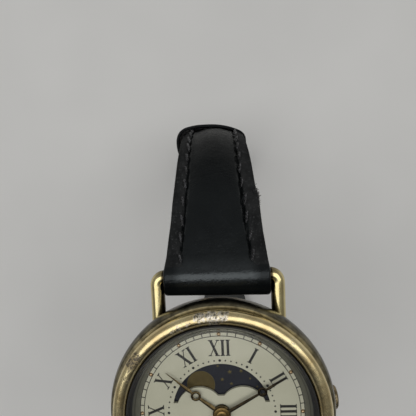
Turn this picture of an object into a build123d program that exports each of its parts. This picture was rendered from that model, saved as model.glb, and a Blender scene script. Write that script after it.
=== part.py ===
from build123d import *
import math
import os

# Ladies' moon phase wristwatch, quartz, round, on a two-piece leather strap with wire lugs.
# Millimetres. +Z is the dial's normal, +Y is 12 o'clock, +X is 3 o'clock (the crown).
# The origin is the centre of the case back's outer face, so everything of the head is above z = 0.
# The strap is unbuckled: both halves go out and down from the lugs and curl in at the bottom.

# ---------------------------------------------------------------- driving dimensions
Z_DIAL = 5.0                       # dial's upper face
R_CASE = 12.75                     # case flank at its widest
R_BORE = 10.22                     # case bore
Z_CASE_TOP = 5.6
R_BEZEL, R_BEZEL_TUBE, Z_BEZEL = 11.3, 0.8, 6.2    # half-round bezel: circle, section radius, height
R_CRYSTAL = 10.31
R_DIAL = 10.18
R_PIPS, R_PIP = 9.0, 0.23
R_WINDOW = 5.5                     # moon window's outer arc
HUMP_X, HUMP_Y, HUMP_R = 2.42, 0.29, 2.62
NOTCH_Y = 1.92
HOUR_DEG, MINUTE_DEG = -53.0, 60.0  # clockwise from 12, at rest: ten past ten

LUG_X, LUG_Y, LUG_Z = 7.0, 14.95, 2.6              # wire lug: leg centres, bar's distance, height
R_WIRE, R_LEG = 0.62, 0.82                         # lug: bar inside the fold, thicker legs
BEND = 0.9

STEM_Z = 2.45                      # crown and stem axis
CROWN_R, CROWN_X0, CROWN_X1 = 1.3, 12.15, 13.4
PULL = 0.8                         # crown's travel

STRAP_W = 12.0                     # at the lugs
T_TOP, T_LINE = 1.5, 0.6           # outer leather and lining
FOLD_R = 1.5                       # fold round the bar
TH = math.radians(37.0)            # slope where the strap leaves the lug
Y_STRAIGHT = 22.7                  # end of the straight stretch
R_UP, R_LOW, L_DROP = 27.0, 11.0, 8.0
BUCKLE_Y = 17.0
TAIL_END = 3.5

os.makedirs("parts", exist_ok=True)
made = {}


def save(name, shape):
    solids = shape.solids()
    out = solids[0] if len(solids) == 1 else Compound(children=list(solids))
    out.label = name
    made[name] = out
    export_step(out, f"parts/{name}.step")
    print(name, len(solids), round(sum(s.volume for s in solids), 3))


def cyl(r, z0, z1, x=0.0, y=0.0):
    return Pos(x, y, (z0 + z1) / 2) * Cylinder(r, z1 - z0)


def ring(ro, ri, z0, z1, x=0.0, y=0.0):
    return cyl(ro, z0, z1, x, y) - cyl(ri, z0 - 1, z1 + 1, x, y)


def block(x0, x1, y0, y1, z0, z1):
    return Pos((x0 + x1) / 2, (y0 + y1) / 2, (z0 + z1) / 2) * Box(x1 - x0, y1 - y0, z1 - z0)


def rod_x(r, x0, x1, y=0.0, z=0.0):
    return Pos((x0 + x1) / 2, y, z) * Rot(0, 90, 0) * Cylinder(r, x1 - x0)


def turned(points):
    """Solid of revolution about Z from a closed (r, z) outline of straight sides."""
    face = make_face(Polyline(*[(r, 0, z) for r, z in points], close=True))
    return revolve(face, Axis.Z, 360)


def polar(r, deg):
    """Point at r from the centre, deg clockwise from 12."""
    a = math.radians(deg)
    return (r * math.sin(a), r * math.cos(a))


def plate(points, z0, z1):
    """Flat plate with a polygon outline."""
    return extrude(Pos(0, 0, z0) * make_face(Polyline(*[(x, y, 0) for x, y in points], close=True)), z1 - z0, dir=(0, 0, 1))


def slot(p, q, r, z0, z1):
    """Round-ended bar between two points."""
    d = math.hypot(q[0] - p[0], q[1] - p[1])
    a = math.degrees(math.atan2(q[1] - p[1], q[0] - p[0]))
    bar = Pos((p[0] + q[0]) / 2, (p[1] + q[1]) / 2, (z0 + z1) / 2) * Rot(0, 0, a) * Box(d, 2 * r, z1 - z0)
    return bar + cyl(r, z0, z1, *p) + cyl(r, z0, z1, *q)


def gear(n, m, z0, z1, x=0.0, y=0.0, hole=0.0, phase=0.0):
    """Spur wheel with n trapezoid teeth of module m. phase is where a tooth's middle points, in degrees from +X."""
    rp = n * m / 2
    ra, rf = rp + 0.85 * m, rp - 1.15 * m
    pts = []
    pitch = 2 * math.pi / n
    half_p, half_a, half_f = 0.22 * pitch, 0.10 * pitch, 0.31 * pitch
    if n > 14:
        half_a = 0.12 * pitch
    for i in range(n):
        c = math.radians(phase) + i * pitch
        for a, r in ((-half_f, rf), (-half_p, rp), (-half_a, ra), (half_a, ra), (half_p, rp), (half_f, rf)):
            pts.append((x + r * math.cos(c + a), y + r * math.sin(c + a)))
    g = plate(pts, z0, z1)
    return g - cyl(hole, z0 - 1, z1 + 1, x, y) if hole else g


def mesh_phase(n1, phase1, n2, direction):
    """Phase of a wheel of n2 teeth so that it meshes with one of n1 teeth at phase1. direction is that of wheel 2 seen from wheel 1, in degrees."""
    p1, p2 = 360 / n1, 360 / n2
    off = ((direction - phase1) / p1) % 1.0      # where the contact line is within wheel 1's pitch
    return direction + 180 + (off + 0.5) * p2     # wheel 2 turns the other way


# ---------------------------------------------------------------- case
with BuildLine(Plane.XZ) as band:
    l1 = Polyline((R_BORE, 0.85), (11.1, 0.85), (11.5, 1.05), (R_CASE - 0.3, 2.7))
    l2 = ThreePointArc((R_CASE - 0.3, 2.7), (R_CASE - 0.0755, 3.5878), (R_CASE, 4.5))
    l3 = ThreePointArc((R_CASE, 4.5), (R_CASE - 0.0635, 5.0057), (R_CASE - 0.25, 5.48))
    l4 = Polyline((R_CASE - 0.25, 5.48), (R_CASE - 0.4, Z_CASE_TOP), (R_BORE, Z_CASE_TOP), (R_BORE, 0.85))
case = revolve(make_face(band.line), Axis.Z, 360)
case -= ring(10.62, 10.30, 0.5, 1.10)                         # groove for the back's gasket
case -= rod_x(0.75, 9.0, 14.0, 0, STEM_Z)                     # crown tube's hole
case -= rod_x(CROWN_R + 0.1, CROWN_X0 - 0.13, 15.0, 0, STEM_Z)  # the crown sits in a pocket of the flank
for sx in (-1, 1):
    for sy in (-1, 1):                                        # holes for the wire lugs' legs
        case -= Pos(sx * LUG_X, sy * 11.8, LUG_Z) * Rot(90, 0, 0) * Cylinder(R_LEG, 6.0)
save("case_middle", case)

back = turned([(0, 0), (10.75, 0), (11.05, 0.25), (11.05, 0.85), (10.19, 0.85), (10.19, 1.35), (9.85, 1.35), (9.85, 0.6), (0, 0.6)])
save("case_back", back)
save("case_back_gasket", ring(10.60, 10.32, 0.86, 1.09))

with BuildLine(Plane.XZ) as bz:
    z0 = 5.75
    re = R_BEZEL + math.sqrt(R_BEZEL_TUBE ** 2 - (Z_BEZEL - z0) ** 2)
    ThreePointArc((re, z0), (R_BEZEL, Z_BEZEL + R_BEZEL_TUBE), (R_BEZEL - R_BEZEL_TUBE, Z_BEZEL))
    Polyline((R_BEZEL - R_BEZEL_TUBE, Z_BEZEL), (R_BEZEL - R_BEZEL_TUBE, Z_CASE_TOP), (11.6, Z_CASE_TOP), (11.6, z0), (re, z0))
save("bezel", revolve(make_face(bz.line), Axis.Z, 360))

save("dial_ring", turned([(9.27, Z_DIAL), (10.2, Z_DIAL), (10.2, 5.61), (10.48, 5.61), (10.48, 5.85), (9.95, 5.85)]))
save("crystal_gasket", turned([(9.98, 5.86), (10.49, 5.86), (10.49, 6.72), (10.33, 6.72), (10.33, 6.02), (9.98, 6.02)]))

DOME_R, SAG_R = 151.67, 166.25                                # radii of the crystal's outer and inner faces
crystal = turned([(0, 5.9), (R_CRYSTAL, 5.9), (R_CRYSTAL, 6.70), (9.9, 7.11), (9.9, 7.4), (0, 7.4)])
crystal &= Pos(0, 0, 7.20 - DOME_R) * Sphere(DOME_R)
crystal -= Pos(0, 0, 6.36 - SAG_R) * Sphere(SAG_R)
save("crystal", crystal)

# ---------------------------------------------------------------- dial
FEET = (polar(8.2, 40), polar(8.2, 220))
dial = cyl(R_DIAL, 4.7, Z_DIAL) - cyl(0.95, 4, 6)
window = cyl(R_WINDOW, 4, 6, 0, 0.1) & block(-7, 7, 1.12, 7, 4, 6)
window -= cyl(HUMP_R, 3, 7, -HUMP_X, HUMP_Y) + cyl(HUMP_R, 3, 7, HUMP_X, HUMP_Y)
window -= block(-1.2, 1.2, -1, NOTCH_Y, 3, 7)
dial -= window
for p in FEET:
    dial += cyl(0.34, 3.7, 4.7, *p)
save("dial", dial)

pips = []
for h in range(12):
    x, y = polar(R_PIPS, 30 * h)
    pips.append((Pos(x, y, Z_DIAL - 0.05) * Sphere(R_PIP)) & block(x - 1, x + 1, y - 1, y + 1, Z_DIAL, Z_DIAL + 1))
save("hour_pips", Compound(children=[s for p in pips for s in p.solids()]))

# ---------------------------------------------------------------- movement, dial side
MINUTE_AT = (2.4, 0.0)                                        # minute wheel's post
SET_AT = (5.2, 0.0)                                           # setting wheel's post
A24 = math.radians(200)
D24 = 4.0
DAY_AT = (D24 * math.cos(A24), D24 * math.sin(A24))           # 24-hour wheel's post
M24 = 2 * D24 / 78
INTER_A, ROTOR_A = 110.0, 150.0
INTER_AT = (2.88 * math.cos(math.radians(INTER_A)), 2.88 * math.sin(math.radians(INTER_A)))
ROTOR_AT = (INTER_AT[0] + 2.38 * math.cos(math.radians(ROTOR_A)), INTER_AT[1] + 2.38 * math.sin(math.radians(ROTOR_A)))
UA = math.atan2(ROTOR_AT[1], ROTOR_AT[0])                     # direction of the motor's row
UR = math.hypot(*ROTOR_AT)


def uv(u, v):
    """Point in the motor's own axes: u outward along its row, v to the left of it."""
    return (u * math.cos(UA) - v * math.sin(UA), u * math.sin(UA) + v * math.cos(UA))


P1, P2, P3 = uv(3.1, 3.0), uv(1.6, -4.2), uv(-3.35, 0.0)      # bridge pillars
BOARD_P = ((5.9, 5.2), (0.7, 7.6))                            # board pillars
BATT_R = 2.9
BATT_AT = (5.95 * math.cos(math.radians(252)), 5.95 * math.sin(math.radians(252)))
CLAMP_P = (BATT_AT[0] - 4.1 * math.cos(math.radians(342)), BATT_AT[1] - 4.1 * math.sin(math.radians(342)))

main = cyl(9.55, 2.9, 3.5)
main -= cyl(0.8, 2, 4)                                        # centre tube's seat
main -= cyl(1.25, 2, 4, *SET_AT)                              # well of the setting wheel
for p in FEET:
    main -= cyl(0.4, 2, 4, *p)
main += cyl(0.25, 3.4, 4.05, *MINUTE_AT) + cyl(0.25, 2.9, 3.9, *SET_AT) + cyl(0.25, 3.4, 4.38, *DAY_AT)
main += block(SET_AT[0] - 0.25, SET_AT[0] + 0.25, -1.3, 1.3, 2.9, 3.1)         # bar that carries the setting wheel's post
stem_block = block(7.92, 8.3, -1.15, 1.15, 1.9, 2.95)
main += stem_block
main -= rod_x(0.44, 7.0, 10.0, 0, STEM_Z)
for p in (P1, P2, P3):
    main += cyl(0.5, 1.86, 2.95, *p)
for p in BOARD_P:
    main += cyl(0.5, 1.86, 2.95, *p)
main += cyl(0.5, 1.18, 2.95, *CLAMP_P)
for p in (P1, P2, P3, *BOARD_P):
    main -= cyl(0.24, 1.0, 3.1, *p)
main -= cyl(0.24, 1.0, 3.1, *CLAMP_P)
for p in (INTER_AT, ROTOR_AT):
    main -= cyl(0.14, 2.8, 3.2, *p)                           # upper pivots
main -= block(6.3, 7.92, -0.95, 0.95, 2.8, 3.6)               # window of the sliding pinion
G0 = 8.72                                                     # stem's groove for the setting lever
LEVER_AT = (G0 + 0.4, -2.15)
main += cyl(0.25, 1.95, 2.95, *LEVER_AT)
save("main_plate", main)

save("centre_tube", ring(0.8, 0.38, 2.62, 3.5))
spacer = ring(9.55, 6.3, 3.5, 4.7) - cyl(2.9, 3.96, 4.24, *DAY_AT)
for p in FEET:
    spacer -= cyl(0.4, 3, 5, *p)
save("dial_spacer", spacer)

# minute train: centre wheel and arbor, cannon pinion
wheel = gear(64, 0.08, 2.15, 2.35, phase=0)
wheel += cyl(0.35, 2.3, 3.52) + cyl(0.25, 3.5, 5.28) + cyl(0.12, 1.62, 2.2) + cyl(0.3, 1.95, 2.2)
save("centre_wheel", wheel)
cannon = gear(12, 0.10, 3.54, 3.78, phase=0) + cyl(0.44, 3.78, 5.60) + cyl(0.30, 5.60, 5.80)
cannon -= cyl(0.26, 3.0, 5.30)
save("cannon_pinion", cannon)
# hour wheel: 40 teeth for the minute wheel's pinion, 26 for the 24-hour wheel, and its pipe
hw = gear(40, 0.096, 3.82, 3.98, phase=mesh_phase(10, 0, 40, 180)) + gear(26, M24, 4.02, 4.17, phase=0) + cyl(0.9, 3.95, 4.05)
hw += cyl(0.74, 4.1, 5.47)
hw -= cyl(0.50, 3.0, 6.0)
save("hour_wheel", hw)
# minute wheel: 36 teeth on the cannon pinion, and a pinion of 10
mw = gear(36, 0.10, 3.55, 3.75, *MINUTE_AT, phase=mesh_phase(12, 0, 36, 0)) + gear(10, 0.096, 3.74, 4.0, *MINUTE_AT, phase=0)
mw -= cyl(0.28, 3.0, 5.0, *MINUTE_AT)
save("minute_wheel", mw)
mw_phase = mesh_phase(12, 0, 36, 0)
sw = gear(20, 0.10, 3.15, 3.75, *SET_AT, phase=mesh_phase(36, mw_phase, 20, 0)) - cyl(0.28, 3.0, 5.0, *SET_AT)
save("setting_wheel", sw)
# 24-hour wheel with the finger that steps the moon disc; the finger points away from the disc's teeth at rest
dw = gear(52, M24, 4.02, 4.16, *DAY_AT, phase=mesh_phase(26, 0, 52, 200))
dw += cyl(0.55, 4.1, 4.36, *DAY_AT)
tip = (DAY_AT[0] + 1.62 * math.cos(A24), DAY_AT[1] + 1.62 * math.sin(A24))
dw += slot(DAY_AT, tip, 0.14, 4.2, 4.36)
dw -= cyl(0.28, 3.0, 5.0, *DAY_AT)
save("day_wheel", dw)
# moon disc: 59 ratchet teeth under it, one step a day, two moons half a turn apart
disc = ring(5.78, 0.79, 4.43, 4.56)
pts = []
for i in range(59):
    a0 = 2 * math.pi * i / 59
    a1 = a0 + 2 * math.pi / 59 * 0.92
    pts += [(2.42 * math.cos(a0), 2.42 * math.sin(a0)), (2.24 * math.cos(a1), 2.24 * math.sin(a1))]
disc += plate(pts, 4.21, 4.44) - cyl(1.9, 4, 4.43)
save("moon_disc", disc)
# jumper: a leaf spring that holds the disc between steps
base = (4.9, 2.9)
jump = cyl(0.55, 3.5, 4.36, *base) + slot(base, (1.5, 3.35), 0.13, 4.22, 4.36) + slot((1.5, 3.35), (0.9, 2.45), 0.1, 4.22, 4.36)
jump -= cyl(0.24, 3.2, 4.6, *base)
save("moon_jumper", jump)

# ---------------------------------------------------------------- movement, back side
iw = gear(60, 0.07, 2.42, 2.56, *INTER_AT, phase=0) + gear(8, 0.08, 2.10, 2.43, *INTER_AT, phase=mesh_phase(64, 0, 8, INTER_A))
iw += cyl(0.2, 2.5, 2.88, *INTER_AT) + cyl(0.11, 1.62, 3.12, *INTER_AT) + cyl(0.3, 1.92, 2.12, *INTER_AT)
save("intermediate_wheel", iw)
rt = gear(8, 0.07, 2.38, 2.62, *ROTOR_AT, phase=mesh_phase(60, 0, 8, ROTOR_A))
rt += cyl(0.7, 1.95, 2.28, *ROTOR_AT) + cyl(0.2, 2.2, 2.4, *ROTOR_AT) + cyl(0.11, 1.62, 3.12, *ROTOR_AT)
save("rotor", rt)

stator = Pos(*uv(UR, 0), 2.12) * Rot(0, 0, math.degrees(UA)) * Box(2.1, 8.8, 0.3)
for sv in (-1, 1):
    stator += Pos(*uv(UR + 1.85, sv * 4.05), 2.12) * Rot(0, 0, math.degrees(UA)) * Box(1.9, 0.7, 0.3)
stator -= cyl(0.85, 1, 3, *ROTOR_AT)
save("stator", stator)
U_COIL = UR + 2.36
core = Pos(*uv(U_COIL, 0), 2.12) * Rot(0, 0, math.degrees(UA)) * Rot(90, 0, 0) * Cylinder(0.3, 7.4)
save("coil_core", core)
coil = Pos(*uv(U_COIL, 0), 2.12) * Rot(0, 0, math.degrees(UA)) * Rot(90, 0, 0) * (Cylinder(0.7, 6.8) - Cylinder(0.3, 8))
save("coil", coil)

bridge = slot((0, 0), P1, 0.75, 1.5, 1.85) + slot((0, 0), P2, 0.75, 1.5, 1.85) + slot((0, 0), P3, 0.75, 1.5, 1.85)
bridge += slot((0, 0), INTER_AT, 1.0, 1.5, 1.85) + slot(INTER_AT, ROTOR_AT, 0.9, 1.5, 1.85)
for p in ((0, 0), INTER_AT, ROTOR_AT):
    bridge -= cyl(0.15, 1.6, 2.0, *p)
for p in (P1, P2, P3):
    bridge -= cyl(0.26, 1.0, 2.0, *p)
save("train_bridge", bridge)

board = Pos(3.3, 6.35, 1.725) * Rot(0, 0, -24) * Box(6.4, 2.6, 0.25)
board += slot((5.3, 5.5), BOARD_P[0], 0.7, 1.6, 1.85) + slot((1.2, 7.4), BOARD_P[1], 0.7, 1.6, 1.85)
for p in BOARD_P:
    board -= cyl(0.26, 1.0, 2.0, *p)
save("circuit_board", board)
save("ic_chip", Pos(2.6, 6.0, 2.05) * Rot(0, 0, -24) * Box(1.5, 1.3, 0.4))
save("quartz_can", Pos(3.95, 7.05, 2.36) * Rot(0, 0, -24) * Rot(0, 90, 0) * Cylinder(0.5, 3.6))

save("battery", cyl(BATT_R, 1.2, 2.6, *BATT_AT) + cyl(BATT_R - 0.45, 2.6, 2.8, *BATT_AT))
far = (BATT_AT[0] + 2.2 * math.cos(math.radians(342)), BATT_AT[1] + 2.2 * math.sin(math.radians(342)))
clamp = slot(CLAMP_P, far, 0.6, 1.03, 1.18)
clamp -= cyl(0.26, 0.9, 1.3, *CLAMP_P)
save("battery_clamp", clamp)

screws = []
for p in (P1, P2, P3):
    screws.append(cyl(0.5, 1.28, 1.5, *p) + cyl(0.235, 1.4, 2.9, *p) - block(p[0] - 0.6, p[0] + 0.6, p[1] - 0.06, p[1] + 0.06, 1.2, 1.36))
for p in BOARD_P:
    screws.append(cyl(0.5, 1.38, 1.6, *p) + cyl(0.235, 1.5, 2.9, *p) - block(p[0] - 0.6, p[0] + 0.6, p[1] - 0.06, p[1] + 0.06, 1.3, 1.46))
screws.append(cyl(0.45, 0.84, 1.03, *CLAMP_P) + cyl(0.235, 1.0, 2.6, *CLAMP_P) - block(CLAMP_P[0] - 0.6, CLAMP_P[0] + 0.6, CLAMP_P[1] - 0.06, CLAMP_P[1] + 0.06, 0.8, 0.92))
save("movement_screws", Compound(children=[s for k in screws for s in k.solids()]))

holder = ring(10.17, 9.6, 1.42, 4.69) - block(9.0, 10.6, -1.0, 1.0, STEM_Z - 1.0, STEM_Z + 1.0)
holder -= block(8.6, 10.6, -2.8, 0.0, 1.9, 2.95)               # room for the setting lever
save("movement_holder", holder)

# ---------------------------------------------------------------- crown and setting work
save("crown_tube", rod_x(0.75, 10.3, CROWN_X0 + 0.35, 0, STEM_Z) - rod_x(0.5, 9, 14, 0, STEM_Z))
crown = rod_x(CROWN_R, CROWN_X0, CROWN_X1, 0, STEM_Z)
crown = fillet(crown.edges().filter_by(GeomType.CIRCLE).sort_by(Axis.X)[-1], 0.25)
crown -= rod_x(0.96, CROWN_X0 - 1, CROWN_X0 + 0.65, 0, STEM_Z)
crown -= rod_x(0.40, CROWN_X0 - 1, CROWN_X1 - 0.3, 0, STEM_Z)
for i in range(28):
    a = 2 * math.pi * i / 28
    crown -= rod_x(0.085, CROWN_X0 - 1, CROWN_X1 - 0.28, (CROWN_R + 0.02) * math.cos(a), STEM_Z + (CROWN_R + 0.02) * math.sin(a))
save("crown", crown)
save("crown_gasket", rod_x(0.94, CROWN_X0 + 0.06, CROWN_X0 + 0.30, 0, STEM_Z) - rod_x(0.78, 12, 14, 0, STEM_Z))
stem = rod_x(0.40, 6.3, CROWN_X1 - 0.3, 0, STEM_Z)
stem -= rod_x(0.6, G0 - 0.28, G0 + 0.28, 0, STEM_Z) - rod_x(0.22, 8, 11, 0, STEM_Z)
stem += rod_x(0.22, 5.9, 6.4, 0, STEM_Z)
save("winding_stem", stem)
pin = rod_x(0.82, 6.95, 7.75, 0, STEM_Z) - rod_x(0.42, 6, 9, 0, STEM_Z)
pin -= rod_x(1.2, 7.2, 7.5, 0, STEM_Z) - rod_x(0.56, 6, 9, 0, STEM_Z)
for i in range(14):
    a = 2 * math.pi * i / 14
    pin -= Pos(6.98, 0.72 * math.cos(a), STEM_Z + 0.72 * math.sin(a)) * Rot(math.degrees(a), 0, 0) * Box(0.16, 0.34, 0.14)
save("sliding_pinion", pin)
# lever: pivots on the plate's post, its nose in the stem's groove
NOSE = (G0 + 0.03, -0.42)
lever = slot(LEVER_AT, NOSE, 0.13, 2.3, 2.6) + cyl(0.42, 2.3, 2.6, *LEVER_AT)
lever += slot(LEVER_AT, (LEVER_AT[0] - 1.5, LEVER_AT[1] - 0.85), 0.26, 2.3, 2.6)
lever -= cyl(0.28, 2, 3, *LEVER_AT)
save("setting_lever", lever)
yoke = block(7.27, 7.43, 0.6, 1.75, 2.3, 2.6) + block(5.9, 7.43, 1.45, 1.75, 2.3, 2.6)
save("yoke", yoke)

# ---------------------------------------------------------------- hands
def breguet(deg, z0, z1, hub_r, hole, w0, w1, ring_at, ring_o, ring_i, leaf_at, leaf_w, tip_at):
    """Hand pointing deg clockwise from 12: hub, tapered arm, pierced ring, leaf and needle."""
    h = cyl(hub_r, z0, z1)
    h += plate([(0.4, -w0 / 2), (ring_at - 0.9 * ring_o, -w1 / 2), (ring_at - 0.9 * ring_o, w1 / 2), (0.4, w0 / 2)], z0, z1)
    h += cyl(ring_o, z0, z1, ring_at, 0)
    a = ring_at + 0.85 * ring_o
    h += plate([(a, -0.13), (leaf_at, -leaf_w / 2), (tip_at - 0.05, -0.035), (tip_at, 0), (tip_at - 0.05, 0.035), (leaf_at, leaf_w / 2), (a, 0.13)], z0, z1)
    h -= cyl(ring_i, z0 - 1, z1 + 1, ring_at, 0)
    if hole:
        h -= cyl(hole, z0 - 1, z1 + 1)
    return Rot(0, 0, 90 - deg) * h


save("hour_hand", breguet(HOUR_DEG, 5.33, 5.45, 1.0, 0.745, 0.50, 0.32, 3.52, 0.60, 0.36, 4.7, 0.46, 7.75))
mh = breguet(MINUTE_DEG, 5.62, 5.73, 0.92, 0, 0.42, 0.26, 5.27, 0.56, 0.32, 6.1, 0.34, 8.35)
mh += cyl(0.62, 5.72, 5.86)
mh -= cyl(0.305, 5.0, 5.81)
save("minute_hand", mh)

# ---------------------------------------------------------------- wire lugs
for name, s in (("wire_lug_12", 1), ("wire_lug_6", -1)):
    lug = Pos(0, s * LUG_Y, LUG_Z) * Rot(0, 90, 0) * Cylinder(R_WIRE, 12.4)      # thinner bar inside the strap's fold
    for sx in (-1, 1):
        pts = [(sx * LUG_X, s * 8.8, LUG_Z), (sx * LUG_X, s * LUG_Y, LUG_Z), (sx * (LUG_X - BEND - 0.02), s * LUG_Y, LUG_Z)]
        prof = Plane(origin=pts[0], z_dir=(0, s, 0)) * Circle(R_LEG)
        lug += sweep(prof, FilletPolyline(*pts, radius=BEND))
    save(name, lug)

# ---------------------------------------------------------------- strap
N = (math.sin(TH), math.cos(TH))                              # outward normal of the straight stretch
TDIR = (math.cos(TH), -math.sin(TH))
S0 = (LUG_Y + FOLD_R * N[0], LUG_Z + FOLD_R * N[1])
E1 = (Y_STRAIGHT, S0[1] - (Y_STRAIGHT - S0[0]) * math.tan(TH))
C1 = (E1[0] - R_UP * N[0], E1[1] - R_UP * N[1])
C2 = (C1[0] + R_UP - R_LOW, C1[1] - L_DROP)
FLOOR = C2[1] - R_LOW


def yz_face(points):
    return make_face(Polyline(*[(0, y, z) for y, z in points], close=True))


def slab(points, half=8.0):
    """Polygon in the YZ plane, extruded along X both ways."""
    return extrude(yz_face(points), half, dir=(1, 0, 0), both=True)


def rod_yz(y, z, r, half=8.0):
    return Pos(0, y, z) * Rot(0, 90, 0) * Cylinder(r, 2 * half)


def band_solid(d0, d1, y_end, start=0.0):
    """Layer of the strap between depths d0 and d1 under its outer surface, on the +Y side, up to y_end on the bottom run. start is how far from the bar it begins."""
    a0 = (S0[0] + TDIR[0] * start - N[0] * d0, S0[1] + TDIR[1] * start - N[1] * d0)
    a1 = (E1[0] - N[0] * d0, E1[1] - N[1] * d0)
    b1 = (E1[0] - N[0] * d1, E1[1] - N[1] * d1)
    b0 = (S0[0] + TDIR[0] * start - N[0] * d1, S0[1] + TDIR[1] * start - N[1] * d1)
    s = slab([a0, a1, b1, b0])
    far_pt = 60.0
    wedge = slab([C1, (C1[0] + far_pt * N[0], C1[1] + far_pt * N[1]), (C1[0] + far_pt, C1[1] + far_pt * N[1]), (C1[0] + far_pt, C1[1])])
    s += (rod_yz(*C1, R_UP - d0) - rod_yz(*C1, R_UP - d1)) & wedge
    s += slab([(C1[0] + R_UP - d1, C1[1]), (C1[0] + R_UP - d0, C1[1]), (C1[0] + R_UP - d0, C2[1]), (C1[0] + R_UP - d1, C2[1])])
    quad = slab([C2, (C2[0] + 30, C2[1]), (C2[0] + 30, C2[1] - 30), (C2[0], C2[1] - 30)])
    s += (rod_yz(*C2, R_LOW - d0) - rod_yz(*C2, R_LOW - d1)) & quad
    s += slab([(C2[0], FLOOR + d0), (C2[0], FLOOR + d1), (y_end, FLOOR + d1), (y_end, FLOOR + d0)])
    return s


# width of the strap by height (seen from the front), then by place along the bottom run
W_BY_Z = [(8.0, 12.0), (3.6, 12.0), (2.5, 11.95), (1.5, 11.8), (0.7, 11.65), (-0.4, 11.4), (-1.8, 11.17), (-2.6, 11.02), (-3.8, 10.9),
          (-5.5, 10.8), (-10.0, 10.64), (-18.0, 10.5), (-30.0, 10.2), (FLOOR - 3, 10.0)]
prism = make_face(Polyline(*([(w / 2, 0, z) for z, w in W_BY_Z] + [(-w / 2, 0, z) for z, w in reversed(W_BY_Z)]), close=True))
taper = extrude(prism, 60, dir=(0, 1, 0), both=True)


def mirror_y(s):
    return mirror(s, Plane.XZ)


Z_BUCKLE = FLOOR + 1.5
# 12 o'clock half: wraps the lug's bar and the buckle's bar
s12 = band_solid(0, T_TOP, BUCKLE_Y) + rod_yz(LUG_Y, LUG_Z, FOLD_R)
s12 += rod_yz(BUCKLE_Y, Z_BUCKLE, 1.5) & slab([(BUCKLE_Y - 3, FLOOR), (BUCKLE_Y + 3, FLOOR), (BUCKLE_Y + 3, FLOOR + 3.0), (BUCKLE_Y - 3, FLOOR + 3.0)])
s12 &= taper
s12 -= rod_yz(LUG_Y, LUG_Z, R_WIRE + 0.05)
s12 -= rod_yz(BUCKLE_Y, Z_BUCKLE, 0.55)
s12 -= block(-0.85, 0.85, BUCKLE_Y - 2, BUCKLE_Y + 1.5, FLOOR - 1, FLOOR + 4)   # gap for the tang's eye
save("strap_12", s12)
l12 = band_solid(T_TOP, T_TOP + T_LINE, BUCKLE_Y + 2.4, start=1.9) & taper
save("strap_12_lining", l12)

# 6 o'clock half: a long tail with seven tang holes and a pointed end
s6 = band_solid(0, T_TOP, -TAIL_END) + rod_yz(LUG_Y, LUG_Z, FOLD_R)
l6 = band_solid(T_TOP, T_TOP + T_LINE, -TAIL_END, start=1.9)
tip_keep = plate([(-8, 40), (8, 40), (8, 2.4), (5.2, 2.4), (4.3, 0.2), (2.6, -2.0), (0.9, -3.3), (0, -3.5), (-0.9, -3.3), (-2.6, -2.0), (-4.3, 0.2), (-5.2, 2.4), (-8, 2.4)], -60, 20)
holes = []
for i in range(4):
    holes.append(cyl(0.75, FLOOR - 1, FLOOR + 3.5, 0, 4.4 + 5.6 * i))
for i in range(3):
    a = -90 + (C2[0] - (4.4 + 5.6 * 3) - 0.0) * 0 + (i + 1) * 5.6 / (R_LOW) * 57.3 - (C2[0] - 21.2) / R_LOW * 57.3
    ar = math.radians(a)
    mid = (C2[0] + (R_LOW - 1) * math.cos(ar), C2[1] + (R_LOW - 1) * math.sin(ar))
    holes.append(Pos(0, *mid) * Rot(a - 90, 0, 0) * Cylinder(0.75, 5))
for nm, s in (("strap_6", s6), ("strap_6_lining", l6)):
    s = (s & taper) & tip_keep
    if nm == "strap_6":
        s -= rod_yz(LUG_Y, LUG_Z, R_WIRE + 0.05)
    for h in holes:
        s -= h
    save(nm, mirror_y(s))


def keeper(c, outer, inner, a0, a1):
    """Closed loop round the strap, bent about the X axis through c, from a0 to a1 degrees above +Y. outer and inner are (x, r) outlines: a smooth arch and straight sides."""
    def face(pts, arch):
        curve = Spline(*[(x, c[0] + r, c[1]) for x, r in arch])
        line = Polyline(*[(x, c[0] + r, c[1]) for x, r in [arch[-1], *pts, arch[0]]])
        return make_face(curve + line)
    loop = face(*outer) - face(*inner)
    ax = Axis((0, c[0], c[1]), (1, 0, 0))
    return revolve(loop, ax, a1 - a0).rotate(ax, a0)


# free keeper on the upper bend: it bulges to the left, away from the crown, so it stands off the strap
K0, K1 = -1.0, 10.0
save("free_keeper", keeper(
    C1,
    ([(5.92, 24.35), (5.72, 24.15), (-6.2, 24.15), (-6.4, 24.35)],
     [(-6.4, 26.9), (-5.95, 28.15), (-4.6, 29.08), (-2.4, 29.40), (0.0, 29.35), (2.4, 29.0), (4.4, 28.36), (5.62, 27.68), (5.92, 27.1)]),
    ([(5.42, 24.8), (5.32, 24.7), (-5.8, 24.7), (-5.9, 24.8)],
     [(-5.9, 26.8), (-5.5, 27.85), (-4.4, 28.6), (-2.3, 28.9), (0.0, 28.85), (2.2, 28.52), (4.1, 27.92), (5.15, 27.4), (5.42, 27.05)]),
    K0, K1))
save("fixed_keeper", keeper(
    C2,
    ([(5.75, 8.45), (5.6, 8.3), (-5.6, 8.3), (-5.75, 8.45)],
     [(-5.75, 11.1), (-5.4, 11.75), (-3.4, 12.05), (0.0, 12.12), (3.4, 12.05), (5.4, 11.75), (5.75, 11.1)]),
    ([(5.2, 8.85), (-5.2, 8.85)],
     [(-5.2, 11.05), (-5.0, 11.25), (-3.3, 11.5), (0.0, 11.57), (3.3, 11.5), (5.0, 11.25), (5.2, 11.05)]),
    -52, -27))

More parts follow.
